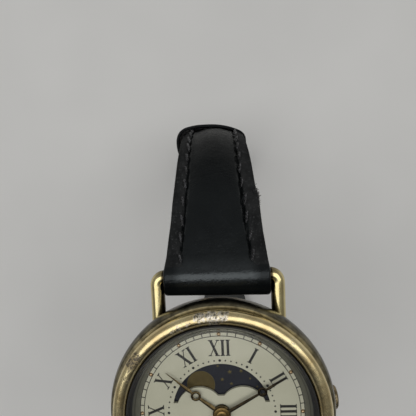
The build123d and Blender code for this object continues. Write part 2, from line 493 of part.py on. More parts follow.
# ---------------------------------------------------------------- buckle
FY = BUCKLE_Y - 7.6
pts = [(-5.75, BUCKLE_Y + 0.9, Z_BUCKLE), (-5.75, FY, Z_BUCKLE), (5.75, FY, Z_BUCKLE), (5.75, BUCKLE_Y + 0.9, Z_BUCKLE)]
path = FilletPolyline(*pts, radius=1.6)
prof = Plane(origin=pts[0], z_dir=(0, -1, 0)) * Circle(0.55)
frame = sweep(prof, path)
for sx in (-1, 1):
    frame += Pos(sx * 5.75, BUCKLE_Y + 0.9, Z_BUCKLE) * Sphere(0.55)
frame -= rod_yz(BUCKLE_Y, Z_BUCKLE, 0.38, 6.1)
save("buckle_frame", frame)
bar = rod_yz(BUCKLE_Y, Z_BUCKLE, 0.5, 5.15) + rod_yz(BUCKLE_Y, Z_BUCKLE, 0.37, 6.05)
save("buckle_spring_bar", bar)
TLEN = 8.5
tang = rod_yz(BUCKLE_Y, Z_BUCKLE, 0.95, 0.6)
ang = math.asin((0.55 + 0.36) / 7.6)
tang += Pos(0, BUCKLE_Y, Z_BUCKLE) * Rot(math.degrees(ang), 0, 0) * Pos(0, -TLEN / 2, 0) * Rot(90, 0, 0) * Cylinder(0.34, TLEN)
tang += Pos(0, BUCKLE_Y, Z_BUCKLE) * Rot(math.degrees(ang), 0, 0) * Pos(0, -TLEN, 0) * Sphere(0.34)
tang -= rod_yz(BUCKLE_Y, Z_BUCKLE, 0.53)
save("buckle_tang", tang)

print("S0", S0, "E1", E1, "C1", C1, "C2", C2, "FLOOR", FLOOR, "Z_BUCKLE", Z_BUCKLE)
print("lever ratio rad/m", -(math.asin(0.37 / 1.769) + math.asin(0.43 / 1.769)) / 0.0008)
print("INTER", INTER_AT, "ROTOR", ROTOR_AT, "DAY", DAY_AT, "CLAMP", CLAMP_P, "BATT", BATT_AT, "nodes", len(made))
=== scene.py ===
import bmesh
import bpy
import math
import random
from mathutils import Matrix, Vector


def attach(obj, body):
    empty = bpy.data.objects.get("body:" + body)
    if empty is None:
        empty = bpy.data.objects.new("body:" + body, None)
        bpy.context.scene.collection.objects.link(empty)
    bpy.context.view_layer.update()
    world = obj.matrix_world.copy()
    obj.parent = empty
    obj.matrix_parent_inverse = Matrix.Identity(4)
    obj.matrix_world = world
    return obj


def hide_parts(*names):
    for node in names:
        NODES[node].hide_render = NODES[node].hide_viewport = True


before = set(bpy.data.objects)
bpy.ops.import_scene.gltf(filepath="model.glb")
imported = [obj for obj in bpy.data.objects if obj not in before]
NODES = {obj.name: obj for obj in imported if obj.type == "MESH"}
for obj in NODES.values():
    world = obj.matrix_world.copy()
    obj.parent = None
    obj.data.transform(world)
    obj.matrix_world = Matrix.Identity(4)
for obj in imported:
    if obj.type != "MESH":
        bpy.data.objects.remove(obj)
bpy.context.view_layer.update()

MM = 0.001
FLOOR_Z = -41.925
rng = random.Random(7)

# ------------------------------------------------------------------ shader helpers


class Mat:
    """A Principled material with short calls for its nodes."""

    def __init__(self, name):
        self.m = bpy.data.materials.new(name)
        self.m.use_nodes = True
        self.nt = self.m.node_tree
        self.b = self.nt.nodes["Principled BSDF"]
        self._obj = None

    def n(self, kind, **kw):
        node = self.nt.nodes.new(kind)
        for k, v in kw.items():
            setattr(node, k, v)
        return node

    def link(self, a, b):
        self.nt.links.new(a, b)

    def set(self, **kw):
        for k, v in kw.items():
            self.b.inputs[k.replace("_", " ")].default_value = v

    def pos(self, sx=1.0, sy=1.0, sz=1.0):
        """Object position in millimetres, scaled."""
        if self._obj is None:
            self._obj = self.n("ShaderNodeTexCoord")
        mp = self.n("ShaderNodeMapping")
        mp.inputs["Scale"].default_value = (1000 * sx, 1000 * sy, 1000 * sz)
        self.link(self._obj.outputs["Object"], mp.inputs["Vector"])
        return mp.outputs["Vector"]

    def noise(self, vec, scale, detail=3.0, rough=0.55, dist=0.0):
        t = self.n("ShaderNodeTexNoise")
        t.inputs["Scale"].default_value = scale
        t.inputs["Detail"].default_value = detail
        t.inputs["Roughness"].default_value = rough
        t.inputs["Distortion"].default_value = dist
        self.link(vec, t.inputs["Vector"])
        return t.outputs["Fac"]

    def voronoi(self, vec, scale, feature="F1", out="Distance"):
        t = self.n("ShaderNodeTexVoronoi", feature=feature)
        t.inputs["Scale"].default_value = scale
        self.link(vec, t.inputs["Vector"])
        return t.outputs[out]

    def ramp(self, fac, *stops, interp="LINEAR"):
        r = self.n("ShaderNodeValToRGB")
        r.color_ramp.interpolation = interp
        e = r.color_ramp.elements
        while len(e) < len(stops):
            e.new(0.5)
        for i, (p, c) in enumerate(stops):
            e[i].position = p
            e[i].color = c if len(c) == 4 else (*c, 1)
        self.link(fac, r.inputs["Fac"])
        return r.outputs["Color"]

    def grey(self, fac, p0, v0, p1, v1):
        return self.ramp(fac, (p0, (v0, v0, v0)), (p1, (v1, v1, v1)))

    def math(self, op, a, b=None, clamp=False):
        t = self.n("ShaderNodeMath", operation=op, use_clamp=clamp)
        for i, v in enumerate((a, b)):
            if v is None:
                continue
            if isinstance(v, (int, float)):
                t.inputs[i].default_value = v
            else:
                self.link(v, t.inputs[i])
        return t.outputs[0]

    def mix(self, fac, a, b, blend="MIX"):
        t = self.n("ShaderNodeMix", data_type="RGBA", blend_type=blend)
        for sock, v in ((t.inputs[0], fac), (t.inputs[6], a), (t.inputs[7], b)):
            if isinstance(v, (int, float)):
                sock.default_value = v
            elif isinstance(v, tuple):
                sock.default_value = v if len(v) == 4 else (*v, 1)
            else:
                self.link(v, sock)
        return t.outputs[2]

    def bump(self, height, strength, distance, prev=None):
        t = self.n("ShaderNodeBump")
        t.inputs["Strength"].default_value = strength
        t.inputs["Distance"].default_value = distance
        self.link(height, t.inputs["Height"])
        if prev is not None:
            self.link(prev, t.inputs["Normal"])
        return t.outputs["Normal"]

    def near(self, vec, centre, radius, soft):
        """1 within radius of centre (mm), 0 beyond radius + soft."""
        d = self.n("ShaderNodeVectorMath", operation="DISTANCE")
        self.link(vec, d.inputs[0])
        d.inputs[1].default_value = centre
        r = self.n("ShaderNodeMapRange")
        r.inputs["From Min"].default_value = radius
        r.inputs["From Max"].default_value = radius + soft
        r.inputs["To Min"].default_value = 1.0
        r.inputs["To Max"].default_value = 0.0
        self.link(d.outputs["Value"], r.inputs["Value"])
        return r.outputs["Result"]

    def out(self, **kw):
        for k, v in kw.items():
            self.link(v, self.b.inputs[k.replace("_", " ")])


def polar_vec(m, radial, around, up):
    """Coordinates (angle, radius, height) about Z, for marks that run round a turned part."""
    p = m.pos()
    s = m.n("ShaderNodeSeparateXYZ")
    m.link(p, s.inputs[0])
    ang = m.math("ARCTAN2", s.outputs[1], s.outputs[0])
    r = m.math("SQRT", m.math("ADD", m.math("MULTIPLY", s.outputs[0], s.outputs[0]), m.math("MULTIPLY", s.outputs[1], s.outputs[1])))
    c = m.n("ShaderNodeCombineXYZ")
    m.link(m.math("MULTIPLY", ang, around), c.inputs[0])
    m.link(m.math("MULTIPLY", r, radial), c.inputs[1])
    m.link(m.math("MULTIPLY", s.outputs[2], up), c.inputs[2])
    return c.outputs[0]


def metal(name, colour, dark, rough=(0.18, 0.3), mottle=1.2, bump=0.00001, scratch=True, lathe=False):
    """Plated or turned metal: slow colour change, roughness in blotches, fine scratches."""
    m = Mat(name)
    m.set(Metallic=1.0)
    p = m.pos()
    blot = m.noise(p, mottle, 4.0, 0.6)
    m.out(Base_Color=m.ramp(blot, (0.34, dark), (0.62, colour)))
    fine = m.noise(polar_vec(m, 9.0, 2.0, 9.0) if lathe else m.pos(1.0, 1.0, 5.0), 3.0, 5.0, 0.7)
    m.out(Roughness=m.grey(fine, 0.32, rough[0], 0.68, rough[1]))
    if scratch:
        s = m.noise(polar_vec(m, 22.0, 1.2, 22.0) if lathe else m.pos(9.0, 1.2, 2.0), 2.0, 4.0, 0.65)
        m.out(Normal=m.bump(s, 0.25, bump))
    return m


# ------------------------------------------------------------------ materials
def make_bezel():
    m = Mat("gold_worn")
    m.set(Metallic=1.0)
    p = m.pos()
    warp = m.n("ShaderNodeTexNoise")
    warp.inputs["Scale"].default_value = 2.4
    warp.inputs["Detail"].default_value = 4.0
    m.link(p, warp.inputs["Vector"])
    sub = m.n("ShaderNodeVectorMath", operation="SUBTRACT")
    m.link(warp.outputs["Color"], sub.inputs[0])
    sub.inputs[1].default_value = (0.5, 0.5, 0.5)
    sc = m.n("ShaderNodeVectorMath", operation="SCALE")
    m.link(sub.outputs[0], sc.inputs[0])
    sc.inputs["Scale"].default_value = 1.5
    add = m.n("ShaderNodeVectorMath", operation="ADD")
    m.link(p, add.inputs[0])
    m.link(sc.outputs[0], add.inputs[1])
    pw = add.outputs[0]
    # where the plating is worn through: by 12, at 10 and in small nicks
    spots = [((-1.9, 11.55, 6.95), 0.50, 0.25), ((-0.6, 11.75, 6.95), 0.55, 0.25), ((0.7, 11.7, 6.95), 0.50, 0.25), ((-0.4, 11.0, 6.85), 0.50, 0.4),
             ((-9.7, 6.6, 6.9), 0.55, 0.3), ((-8.9, 7.3, 7.0), 0.45, 0.3), ((-10.15, 4.9, 6.8), 0.22, 0.15), ((7.9, 8.6, 6.7), 0.16, 0.12),
             ((-4.1, 10.45, 6.85), 0.22, 0.2), ((-4.8, 10.2, 6.8), 0.16, 0.2), ((-3.2, 10.8, 6.85), 0.14, 0.2), ((10.3, -4.4, 6.7), 0.3, 0.25), ((-6.0, -9.5, 6.8), 0.35, 0.3)]
    mask = None
    for c, r, s in spots:
        k = m.near(pw, c, r, s)
        mask = k if mask is None else m.math("MAXIMUM", mask, k)
    grain = m.noise(p, 5.0, 5.0, 0.7)
    worn = m.math("MULTIPLY", mask, m.grey(grain, 0.34, 0.15, 0.52, 1.0), clamp=True)
    slow = m.noise(p, 0.55, 3.0, 0.5)
    gold = m.ramp(slow, (0.35, (0.70, 0.55, 0.28)), (0.65, (0.88, 0.75, 0.43)))
    ragged = m.ramp(m.noise(p, 2.6, 5.0, 0.75), (0.44, (0.13, 0.12, 0.10)), (0.54, (0.92, 0.86, 0.76)))
    dull = m.ramp(m.noise(p, 2.6, 5.0, 0.75), (0.54, (0.11, 0.095, 0.075)), (0.66, (0.55, 0.46, 0.34)))
    m.out(Base_Color=m.mix(worn, gold, m.mix(m.near(p, (-9.4, 6.6, 6.9), 2.2, 0.8), ragged, dull)))
    scratches = m.noise(polar_vec(m, 1.5, 22.0, 1.5), 3.0, 5.0, 0.75)
    rings = m.noise(polar_vec(m, 26.0, 3.0, 26.0), 1.0, 4.0, 0.7)
    rough = m.math("ADD", m.grey(rings, 0.35, 0.22, 0.7, 0.32), m.math("MULTIPLY", worn, 0.20))
    m.out(Roughness=rough)
    edge = m.math("SUBTRACT", m.math("MULTIPLY", scratches, 0.35), m.math("MULTIPLY", worn, 0.9))
    n1 = m.bump(edge, 0.5, 0.00003)
    dents = m.noise(p, 1.6, 2.0, 0.5)
    m.out(Normal=m.bump(dents, 0.35, 0.00006, n1))
    return m


def sheen_with_painted_shade(m, spec):
    """Specular level by position, painted shade in the strap's reflections: full on the top of the strap, little far
    down the bend, under the fold round the bar and at the fold's ends.
    """
    sp = m.n("ShaderNodeSeparateXYZ")
    m.link(m.pos(), sp.inputs[0])
    down = m.ramp(m.math("DIVIDE", m.math("ADD", sp.outputs[2], 20.0), 20.0), (0.40, (0.10, 0.10, 0.10)), (0.62, (0.20, 0.20, 0.20)), (0.76, (0.38, 0.38, 0.38)), (0.94, (1.0, 1.0, 1.0)))
    along = m.math("DIVIDE", m.math("SUBTRACT", m.math("ABSOLUTE", sp.outputs[1]), 14.0), 6.0)
    fold = m.ramp(along, (0.0, (0.08, 0.08, 0.08)), (0.13, (1.0, 1.0, 1.0)), (0.36, (1.0, 1.0, 1.0)), (0.58, (0.48, 0.48, 0.48)), (1.0, (0.40, 0.40, 0.40)))
    ends = m.grey(m.math("SUBTRACT", m.math("ABSOLUTE", sp.outputs[0]), 4.0), 0.0, 1.0, 1.0, 0.40)
    m.out(Specular_IOR_Level=m.math("MULTIPLY", m.math("MULTIPLY", m.math("MULTIPLY", down, fold), ends), spec))


def make_leather(name, base, light, grain=3.4, rough=(0.42, 0.58), depth=0.00004, spec=0.20):
    m = Mat(name)
    p = m.pos()
    cells = m.voronoi(p, grain, "F1", "Distance")
    cells2 = m.voronoi(p, grain * 2.3, "F1", "Distance")
    slow = m.noise(p, 0.35, 4.0, 0.6)
    fine = m.noise(p, 9.0, 4.0, 0.65)
    m.out(Base_Color=m.mix(m.grey(fine, 0.4, 0.0, 0.75, 1.0), m.ramp(slow, (0.35, base), (0.7, light)), light))
    m.out(Roughness=m.grey(m.noise(p, 0.8, 3.0, 0.6), 0.35, rough[0], 0.7, rough[1]))
    h = m.math("ADD", m.math("MULTIPLY", cells, 0.6), m.math("MULTIPLY", cells2, 0.35))
    n1 = m.bump(m.noise(m.pos(0.35, 1.6, 1.6), 2.6, 4.0, 0.6), 0.35, depth, m.bump(h, 0.40, depth))
    m.out(Normal=m.bump(slow, 0.30, 0.0003, n1))
    m.set(Specular_Tint=(0.86, 0.95, 1.0, 1.0))
    if name == "leather_black":
        sheen_with_painted_shade(m, spec)
    else:
        m.set(Specular_IOR_Level=spec)
    return m


def make_margin():
    """Worn, finely speckled leather outside the stitching."""
    m = Mat("leather_margin")
    p = m.pos()
    speck = m.noise(p, 2.4, 5.0, 0.75)
    slow = m.noise(p, 0.45, 4.0, 0.6)
    dark = m.ramp(slow, (0.35, (0.0120, 0.0126, 0.0130)), (0.7, (0.0270, 0.0280, 0.0285)))
    m.out(Base_Color=m.mix(m.grey(speck, 0.56, 0.0, 0.70, 1.0), dark, (0.066, 0.068, 0.070)))
    m.out(Roughness=m.grey(m.noise(p, 3.0, 4.0, 0.7), 0.35, 0.34, 0.7, 0.60))
    n1 = m.bump(speck, 0.8, 0.00008)
    m.out(Normal=m.bump(m.noise(p, 1.1, 3.0, 0.6), 0.3, 0.0003, n1))
    sheen_with_painted_shade(m, 0.22)
    m.set(Specular_Tint=(0.86, 0.95, 1.0, 1.0))
    return m


M = {}
M["gold_worn"] = make_bezel()


def patina_and_painted_shade(m, mask, dark):
    """Darkens a metal's colour where mask (0 to 1) says so: painted shade, with patina on the case."""
    colour = m.b.inputs["Base Color"].links[0].from_socket
    m.out(Base_Color=m.mix(mask, colour, dark))


mc = metal("case_bronze", (0.31, 0.275, 0.175), (0.115, 0.102, 0.066), (0.24, 0.36), 0.9, 0.00001, True, True)
p = mc.pos()
sp = mc.n("ShaderNodeSeparateXYZ")
mc.link(p, sp.inputs[0])
rad = mc.math("SQRT", mc.math("ADD", mc.math("MULTIPLY", sp.outputs[0], sp.outputs[0]), mc.math("MULTIPLY", sp.outputs[1], sp.outputs[1])))
# painted shade: the case darkened at its outer rim and round the lug roots under the strap, broken up by patchy patina
rim = mc.grey(mc.math("SUBTRACT", rad, 12.0), 0.35, 0.0, 0.72, 0.85)
roots = None
for cx in (-7.0, 7.0):
    for cy in (-11.0, 11.0):
        k = mc.near(p, (cx, cy, 3.6), 1.5, 1.3)
        roots = k if roots is None else mc.math("MAXIMUM", roots, k)
patchy = mc.grey(mc.noise(p, 1.3, 4.0, 0.65), 0.35, 0.55, 0.6, 1.0)
patina_and_painted_shade(mc, mc.math("MULTIPLY", mc.math("MAXIMUM", rim, roots), patchy, clamp=True), (0.030, 0.028, 0.022))
M["case_bronze"] = mc
mw = metal("gold_wire", (0.88, 0.77, 0.42), (0.74, 0.62, 0.31), (0.13, 0.19), 0.5, 0.000001)
sp = mw.n("ShaderNodeSeparateXYZ")
mw.link(mw.pos(), sp.inputs[0])
# painted shade: the lug wire darkened on its inner flank, standing in for the dark strap reflected there, and where it
# runs on under the strap past the bar
inner = mw.grey(mw.math("SUBTRACT", mw.math("ABSOLUTE", sp.outputs[0]), 6.0), 0.32, 1.0, 0.52, 0.0)
far = mw.grey(mw.math("SUBTRACT", mw.math("ABSOLUTE", sp.outputs[1]), 15.0), 0.10, 0.0, 0.62, 0.75)
patina_and_painted_shade(mw, mw.math("MAXIMUM", inner, far, clamp=True), (0.055, 0.042, 0.022))
M["gold_wire"] = mw
M["gold"] = metal("gold", (0.80, 0.60, 0.28), (0.62, 0.44, 0.18), (0.15, 0.26), 1.5)
M["pip_gold"] = metal("pip_gold", (0.58, 0.42, 0.26), (0.40, 0.27, 0.15), (0.26, 0.36), 3.0)
M["crown_bronze"] = metal("crown_bronze", (0.32, 0.26, 0.155), (0.14, 0.11, 0.065), (0.25, 0.4), 2.0)
M["hand_gold"] = metal("hand_gold", (0.125, 0.090, 0.040), (0.055, 0.040, 0.019), (0.24, 0.34), 2.0)
# painted shade: a darker copy of the hour hand's gold for the minute hand, seen with the light behind it
M["hand_dark_gold"] = metal("hand_dark_gold", (0.034, 0.026, 0.014), (0.015, 0.011, 0.007), (0.28, 0.40), 2.5)
M["hub_gold"] = metal("hub_gold", (0.34, 0.23, 0.09), (0.26, 0.17, 0.06), (0.20, 0.30), 0.8, 0.000004, True, True)
M["back_steel"] = metal("back_steel", (0.62, 0.62, 0.61), (0.50, 0.50, 0.50), (0.28, 0.42), 1.2, 0.00002, True, True)
M["steel_fine"] = metal("steel_fine", (0.66, 0.66, 0.66), (0.52, 0.52, 0.53), (0.25, 0.4), 1.5)
M["cell_steel"] = metal("cell_steel", (0.72, 0.72, 0.74), (0.6, 0.6, 0.62), (0.2, 0.32), 1.5)
M["plate_brass"] = metal("plate_brass", (0.78, 0.66, 0.42), (0.64, 0.52, 0.30), (0.25, 0.4), 1.2)
M["wheel_brass"] = metal("wheel_brass", (0.80, 0.65, 0.34), (0.62, 0.48, 0.22), (0.2, 0.34), 2.0)
M["magnet_grey"] = metal("magnet_grey", (0.30, 0.30, 0.32), (0.2, 0.2, 0.22), (0.4, 0.55), 2.0)

m = Mat("copper_coil")
m.set(Metallic=1.0, Roughness=0.32)
w = m.n("ShaderNodeTexWave")
w.inputs["Scale"].default_value = 6.0
m.link(m.pos(), w.inputs["Vector"])
m.out(Base_Color=m.ramp(w.outputs["Fac"], (0.2, (0.36, 0.12, 0.04)), (0.8, (0.72, 0.34, 0.14))))
m.out(Normal=m.bump(w.outputs["Fac"], 0.6, 0.00003))
M["copper_coil"] = m

m = Mat("dial_cream")
p = m.pos()
slow = m.noise(p, 0.16, 4.0, 0.6)
m.out(Base_Color=m.ramp(slow, (0.35, (0.53, 0.522, 0.402)), (0.65, (0.60, 0.59, 0.465))))
m.out(Roughness=m.grey(m.noise(p, 1.2, 3.0), 0.3, 0.42, 0.7, 0.52))
m.out(Normal=m.bump(m.noise(p, 14.0, 3.0), 0.15, 0.00001))
m.set(Specular_IOR_Level=0.35)
M["dial_cream"] = m

m = Mat("print_ink")
p = m.pos()
m.out(Base_Color=m.ramp(m.noise(p, 4.0, 3.0), (0.3, (0.010, 0.010, 0.009)), (0.7, (0.022, 0.021, 0.018))))
m.out(Roughness=m.grey(m.noise(p, 9.0, 2.0), 0.3, 0.45, 0.7, 0.6))
M["print_ink"] = m

m = Mat("track_ink")
p = m.pos()
m.out(Base_Color=m.ramp(m.noise(p, 3.0, 3.0), (0.3, (0.018, 0.017, 0.013)), (0.7, (0.034, 0.032, 0.025))))
m.set(Roughness=0.55)
M["track_ink"] = m

m = Mat("rehaut")
m.set(Metallic=0.3)
p = m.pos()
sp = m.n("ShaderNodeSeparateXYZ")
m.link(p, sp.inputs[0])
rad = m.math("SQRT", m.math("ADD", m.math("MULTIPLY", sp.outputs[0], sp.outputs[0]), m.math("MULTIPLY", sp.outputs[1], sp.outputs[1])))
# colour by radius, darker outwards towards the bezel, with a thin dark ring: painted shade of the bezel's lip and of a
# groove
rings = m.ramp(m.math("DIVIDE", m.math("SUBTRACT", rad, 9.2), 1.1), (0.0, (0.26, 0.26, 0.21)), (0.18, (0.19, 0.19, 0.155)), (0.42, (0.16, 0.16, 0.13)), (0.47, (0.05, 0.05, 0.04)), (0.55, (0.13, 0.13, 0.11)),
               (0.80, (0.10, 0.10, 0.085)), (0.92, (0.03, 0.03, 0.026)))
m.out(Base_Color=m.mix(m.grey(m.noise(p, 1.5, 4.0), 0.35, 0.0, 0.65, 0.25), rings, (0.07, 0.07, 0.055)))
m.out(Roughness=m.grey(m.noise(polar_vec(m, 18.0, 2.0, 18.0), 1.0, 3.0), 0.3, 0.3, 0.7, 0.45))
M["rehaut"] = m

m = Mat("black_gasket")
p = m.pos()
m.out(Base_Color=m.ramp(m.noise(p, 3.0, 3.0), (0.3, (0.006, 0.006, 0.006)), (0.7, (0.016, 0.016, 0.016))))
m.out(Roughness=m.grey(m.noise(p, 6.0, 2.0), 0.3, 0.5, 0.7, 0.7))
M["black_gasket"] = m

m = Mat("moon_navy")
p = m.pos()
m.out(Base_Color=m.ramp(m.noise(p, 0.8, 4.0), (0.3, (0.0045, 0.006, 0.013)), (0.7, (0.008, 0.010, 0.020))))
m.out(Roughness=m.grey(m.noise(p, 3.0, 2.0), 0.3, 0.35, 0.7, 0.5))
m.out(Normal=m.bump(m.noise(p, 12.0, 3.0), 0.2, 0.00001))
M["moon_navy"] = m

m = Mat("moon_gold")
p = m.pos()
m.set(Metallic=0.35)
m.out(Base_Color=m.ramp(m.noise(p, 0.9, 4.0), (0.35, (0.080, 0.057, 0.014)), (0.65, (0.105, 0.077, 0.021))))
m.out(Roughness=m.grey(m.noise(p, 6.0, 2.0), 0.3, 0.42, 0.7, 0.55))
M["moon_gold"] = m

m = Mat("star_gold")
p = m.pos()
m.set(Metallic=0.3)
m.out(Base_Color=m.ramp(m.noise(p, 1.5, 3.0), (0.35, (0.075, 0.060, 0.018)), (0.65, (0.12, 0.095, 0.032))))
m.set(Roughness=0.45)
M["star_gold"] = m

M["leather_black"] = make_leather("leather_black", (0.0024, 0.0030, 0.0032), (0.0046, 0.0054, 0.0057), 3.4, (0.25, 0.34), 0.00006, 0.80)
M["leather_lining"] = make_leather("leather_lining", (0.045, 0.045, 0.044), (0.068, 0.068, 0.066), 2.6, (0.6, 0.75), 0.00003)
M["leather_edge"] = make_leather("leather_edge", (0.0030, 0.0030, 0.0034), (0.0055, 0.0055, 0.0060), 5.0, (0.46, 0.58), 0.00001, 0.12)

M["leather_margin"] = make_margin()
m = Mat("thread_black")
p = m.pos()
w = m.n("ShaderNodeTexWave", bands_direction="DIAGONAL")
w.inputs["Scale"].default_value = 7.0
w.inputs["Distortion"].default_value = 1.0
m.link(p, w.inputs["Vector"])
m.out(Base_Color=m.ramp(m.noise(p, 2.2, 4.0, 0.7), (0.40, (0.006, 0.006, 0.007)), (0.62, (0.085, 0.086, 0.094))))
m.out(Normal=m.bump(w.outputs["Fac"], 0.9, 0.00006))
m.set(Roughness=0.26, Specular_IOR_Level=0.8)
M["thread_black"] = m

m = Mat("scuffed_fibre")
p = m.pos()
m.out(Base_Color=m.ramp(m.noise(p, 5.0, 4.0), (0.35, (0.05, 0.05, 0.05)), (0.7, (0.16, 0.155, 0.15))))
m.set(Roughness=0.8)
M["scuffed_fibre"] = m

for nm, a, b, r in (("holder_plastic", (0.74, 0.74, 0.70), (0.82, 0.82, 0.78), 0.5), ("board_green", (0.03, 0.14, 0.06), (0.06, 0.22, 0.10), 0.35),
                    ("black_resin", (0.012, 0.012, 0.012), (0.03, 0.03, 0.03), 0.4), ("wheel_plastic", (0.66, 0.66, 0.63), (0.76, 0.76, 0.73), 0.4)):
    m = Mat(nm)
    p = m.pos()
    m.out(Base_Color=m.ramp(m.noise(p, 2.0, 3.0), (0.35, a), (0.65, b)))
    m.out(Roughness=m.grey(m.noise(p, 8.0, 2.0), 0.3, r - 0.06, 0.7, r + 0.06))
    m.out(Normal=m.bump(m.noise(p, 10.0, 2.0), 0.15, 0.00002))
    M[nm] = m

m = Mat("crystal_glass")
m.set(Transmission_Weight=1.0, IOR=1.20)
m.set(Base_Color=(0.985, 0.99, 0.985, 1.0))
m.out(Roughness=m.grey(m.noise(m.pos(), 0.6, 3.0), 0.4, 0.0, 0.75, 0.012))
M["crystal_glass"] = m

m = Mat("pale_floor")
m.out(Base_Color=m.ramp(m.noise(m.pos(0.02, 0.02, 0.02), 1.5, 2.0), (0.3, (0.74, 0.74, 0.73)), (0.7, (0.79, 0.79, 0.78))))
m.set(Roughness=0.6)
M["pale_floor"] = m

NODE_MAT = {
    "case_middle": "case_bronze", "bezel": "gold_worn", "crystal": "crystal_glass", "crystal_gasket": "black_gasket", "dial_ring": "rehaut",
    "dial": "dial_cream", "hour_pips": "pip_gold", "case_back": "back_steel", "case_back_gasket": "black_gasket", "movement_holder": "holder_plastic",
    "wire_lug_12": "gold_wire", "wire_lug_6": "gold_wire", "crown_tube": "steel_fine", "main_plate": "plate_brass", "train_bridge": "steel_fine",
    "dial_spacer": "holder_plastic", "battery": "cell_steel", "battery_clamp": "steel_fine", "coil": "copper_coil", "coil_core": "steel_fine",
    "stator": "steel_fine", "circuit_board": "board_green", "ic_chip": "black_resin", "quartz_can": "cell_steel", "movement_screws": "steel_fine",
    "centre_tube": "plate_brass", "moon_jumper": "steel_fine", "minute_hand": "hand_dark_gold", "centre_wheel": "wheel_brass", "cannon_pinion": "steel_fine",
    "hour_hand": "hand_gold", "hour_wheel": "wheel_brass", "minute_wheel": "wheel_brass", "setting_wheel": "steel_fine", "intermediate_wheel": "wheel_plastic",
    "rotor": "magnet_grey", "day_wheel": "wheel_brass", "moon_disc": "moon_navy", "crown": "crown_bronze", "winding_stem": "steel_fine",
    "crown_gasket": "black_gasket", "sliding_pinion": "steel_fine", "setting_lever": "steel_fine", "yoke": "steel_fine", "buckle_frame": "gold",
    "buckle_spring_bar": "steel_fine", "buckle_tang": "gold",
}
for name, o in NODES.items():
    mat = M[NODE_MAT.get(name, "leather_black")].m
    if not o.data.materials:
        o.data.materials.append(mat)
    for i in range(len(o.material_slots)):
        o.material_slots[i].material = mat

# ------------------------------------------------------------------ mesh helpers


def make_mesh(name, verts, faces, mat, smooth=True, sharp=40.0, second=None, which=None):
    """Mesh object from vertices in millimetres."""
    me = bpy.data.meshes.new(name)
    me.from_pydata([(x * MM, y * MM, z * MM) for x, y, z in verts], [], faces)
    if second:
        me.materials.append(M[mat].m)
        me.materials.append(M[second].m)
        me.polygons.foreach_set("material_index", which)
    me.validate()
    bm = bmesh.new()
    bm.from_mesh(me)
    bmesh.ops.recalc_face_normals(bm, faces=bm.faces)
    bm.to_mesh(me)
    bm.free()
    if smooth:
        me.polygons.foreach_set("use_smooth", [True] * len(me.polygons))
        if sharp:
            me.set_sharp_from_angle(angle=math.radians(sharp))
    if not second:
        me.materials.append(M[mat].m)
    ob = bpy.data.objects.new(name, me)
    bpy.context.scene.collection.objects.link(ob)
    return ob


class Build:
    """Collects several closed shapes into one mesh."""

    def __init__(self):
        self.v, self.f = [], []

    def add(self, verts, faces):
        k = len(self.v)
        self.v += verts
        self.f += [[i + k for i in f] for f in faces]

    def prism(self, pts, z0, z1):
        """Flat prism from an outline in (x, y), counter-clockwise or not."""
        n = len(pts)
        self.add([(x, y, z0) for x, y in pts] + [(x, y, z1) for x, y in pts],
                 [list(range(n))[::-1], list(range(n, 2 * n))] + [[i, (i + 1) % n, n + (i + 1) % n, n + i] for i in range(n)])

    def flat_ring(self, ro, ri, z0, z1, n=240, cx=0.0, cy=0.0):
        v = []
        for i in range(n):
            a = 2 * math.pi * i / n
            c, s = math.cos(a), math.sin(a)
            v += [(cx + ro * c, cy + ro * s, z0), (cx + ro * c, cy + ro * s, z1), (cx + ri * c, cy + ri * s, z1), (cx + ri * c, cy + ri * s, z0)]
        f = []
        for i in range(n):
            a, b = 4 * i, 4 * ((i + 1) % n)
            for k in range(4):
                f.append([a + k, b + k, b + (k + 1) % 4, a + (k + 1) % 4])
        self.add(v, f)

    def lathe(self, prof, n=96, cx=0.0, cy=0.0):
        """Closed profile of (r, z) turned round the vertical through (cx, cy). A profile may begin and end on the axis."""
        k = len(prof)
        v = []
        for i in range(n):
            a = 2 * math.pi * i / n
            v += [(cx + r * math.cos(a), cy + r * math.sin(a), z) for r, z in prof]
        f = []
        for i in range(n):
            a, b = k * i, k * ((i + 1) % n)
            for j in range(k if prof[0][0] > 1e-6 else k - 1):
                j2 = (j + 1) % k
                f.append([a + j, b + j, b + j2, a + j2])
        self.add(v, f)

    def tube(self, pts, r, sides=10, flat=1.0, taper=0.35, up=(0, 0, 1)):
        """Round-ended thread along points; r is its radius, flat squashes it along its normal."""
        ring_of = []
        n = len(pts)
        for i, p in enumerate(pts):
            p = Vector(p)
            t = (Vector(pts[min(i + 1, n - 1)]) - Vector(pts[max(i - 1, 0)])).normalized()
            u = Vector(up[i] if isinstance(up, list) else up)
            s = t.cross(u).normalized()
            u = s.cross(t).normalized()
            e = min(i, n - 1 - i) / (n - 1) * 2
            k = taper + (1 - taper) * min(1.0, (1 - (1 - min(1, e * 2.2)) ** 2)) if taper < 1 else 1.0
            ring_of.append([tuple(p + s * (r * k * math.cos(a)) + u * (r * k * flat * math.sin(a))) for a in [2 * math.pi * j / sides for j in range(sides)]])
        v = [q for ring in ring_of for q in ring]
        f = []
        for i in range(n - 1):
            for j in range(sides):
                f.append([i * sides + j, i * sides + (j + 1) % sides, (i + 1) * sides + (j + 1) % sides, (i + 1) * sides + j])
        f.append(list(range(sides))[::-1])
        f.append([(n - 1) * sides + j for j in range(sides)])
        self.add(v, f)

    def object(self, name, mat, smooth=True, sharp=40.0):
        return make_mesh(name, self.v, self.f, mat, smooth, sharp)


def turn_xy(pts, deg_cw, at=(0.0, 0.0)):
    """Points given with +Y as 'up', turned clockwise by deg_cw about the centre."""
    a = math.radians(-deg_cw)
    c, s = math.cos(a), math.sin(a)
    return [(at[0] + x * c - y * s, at[1] + x * s + y * c) for x, y in pts]


def smooth01(t):
    t = max(0.0, min(1.0, t))
    return t * t * (3 - 2 * t)


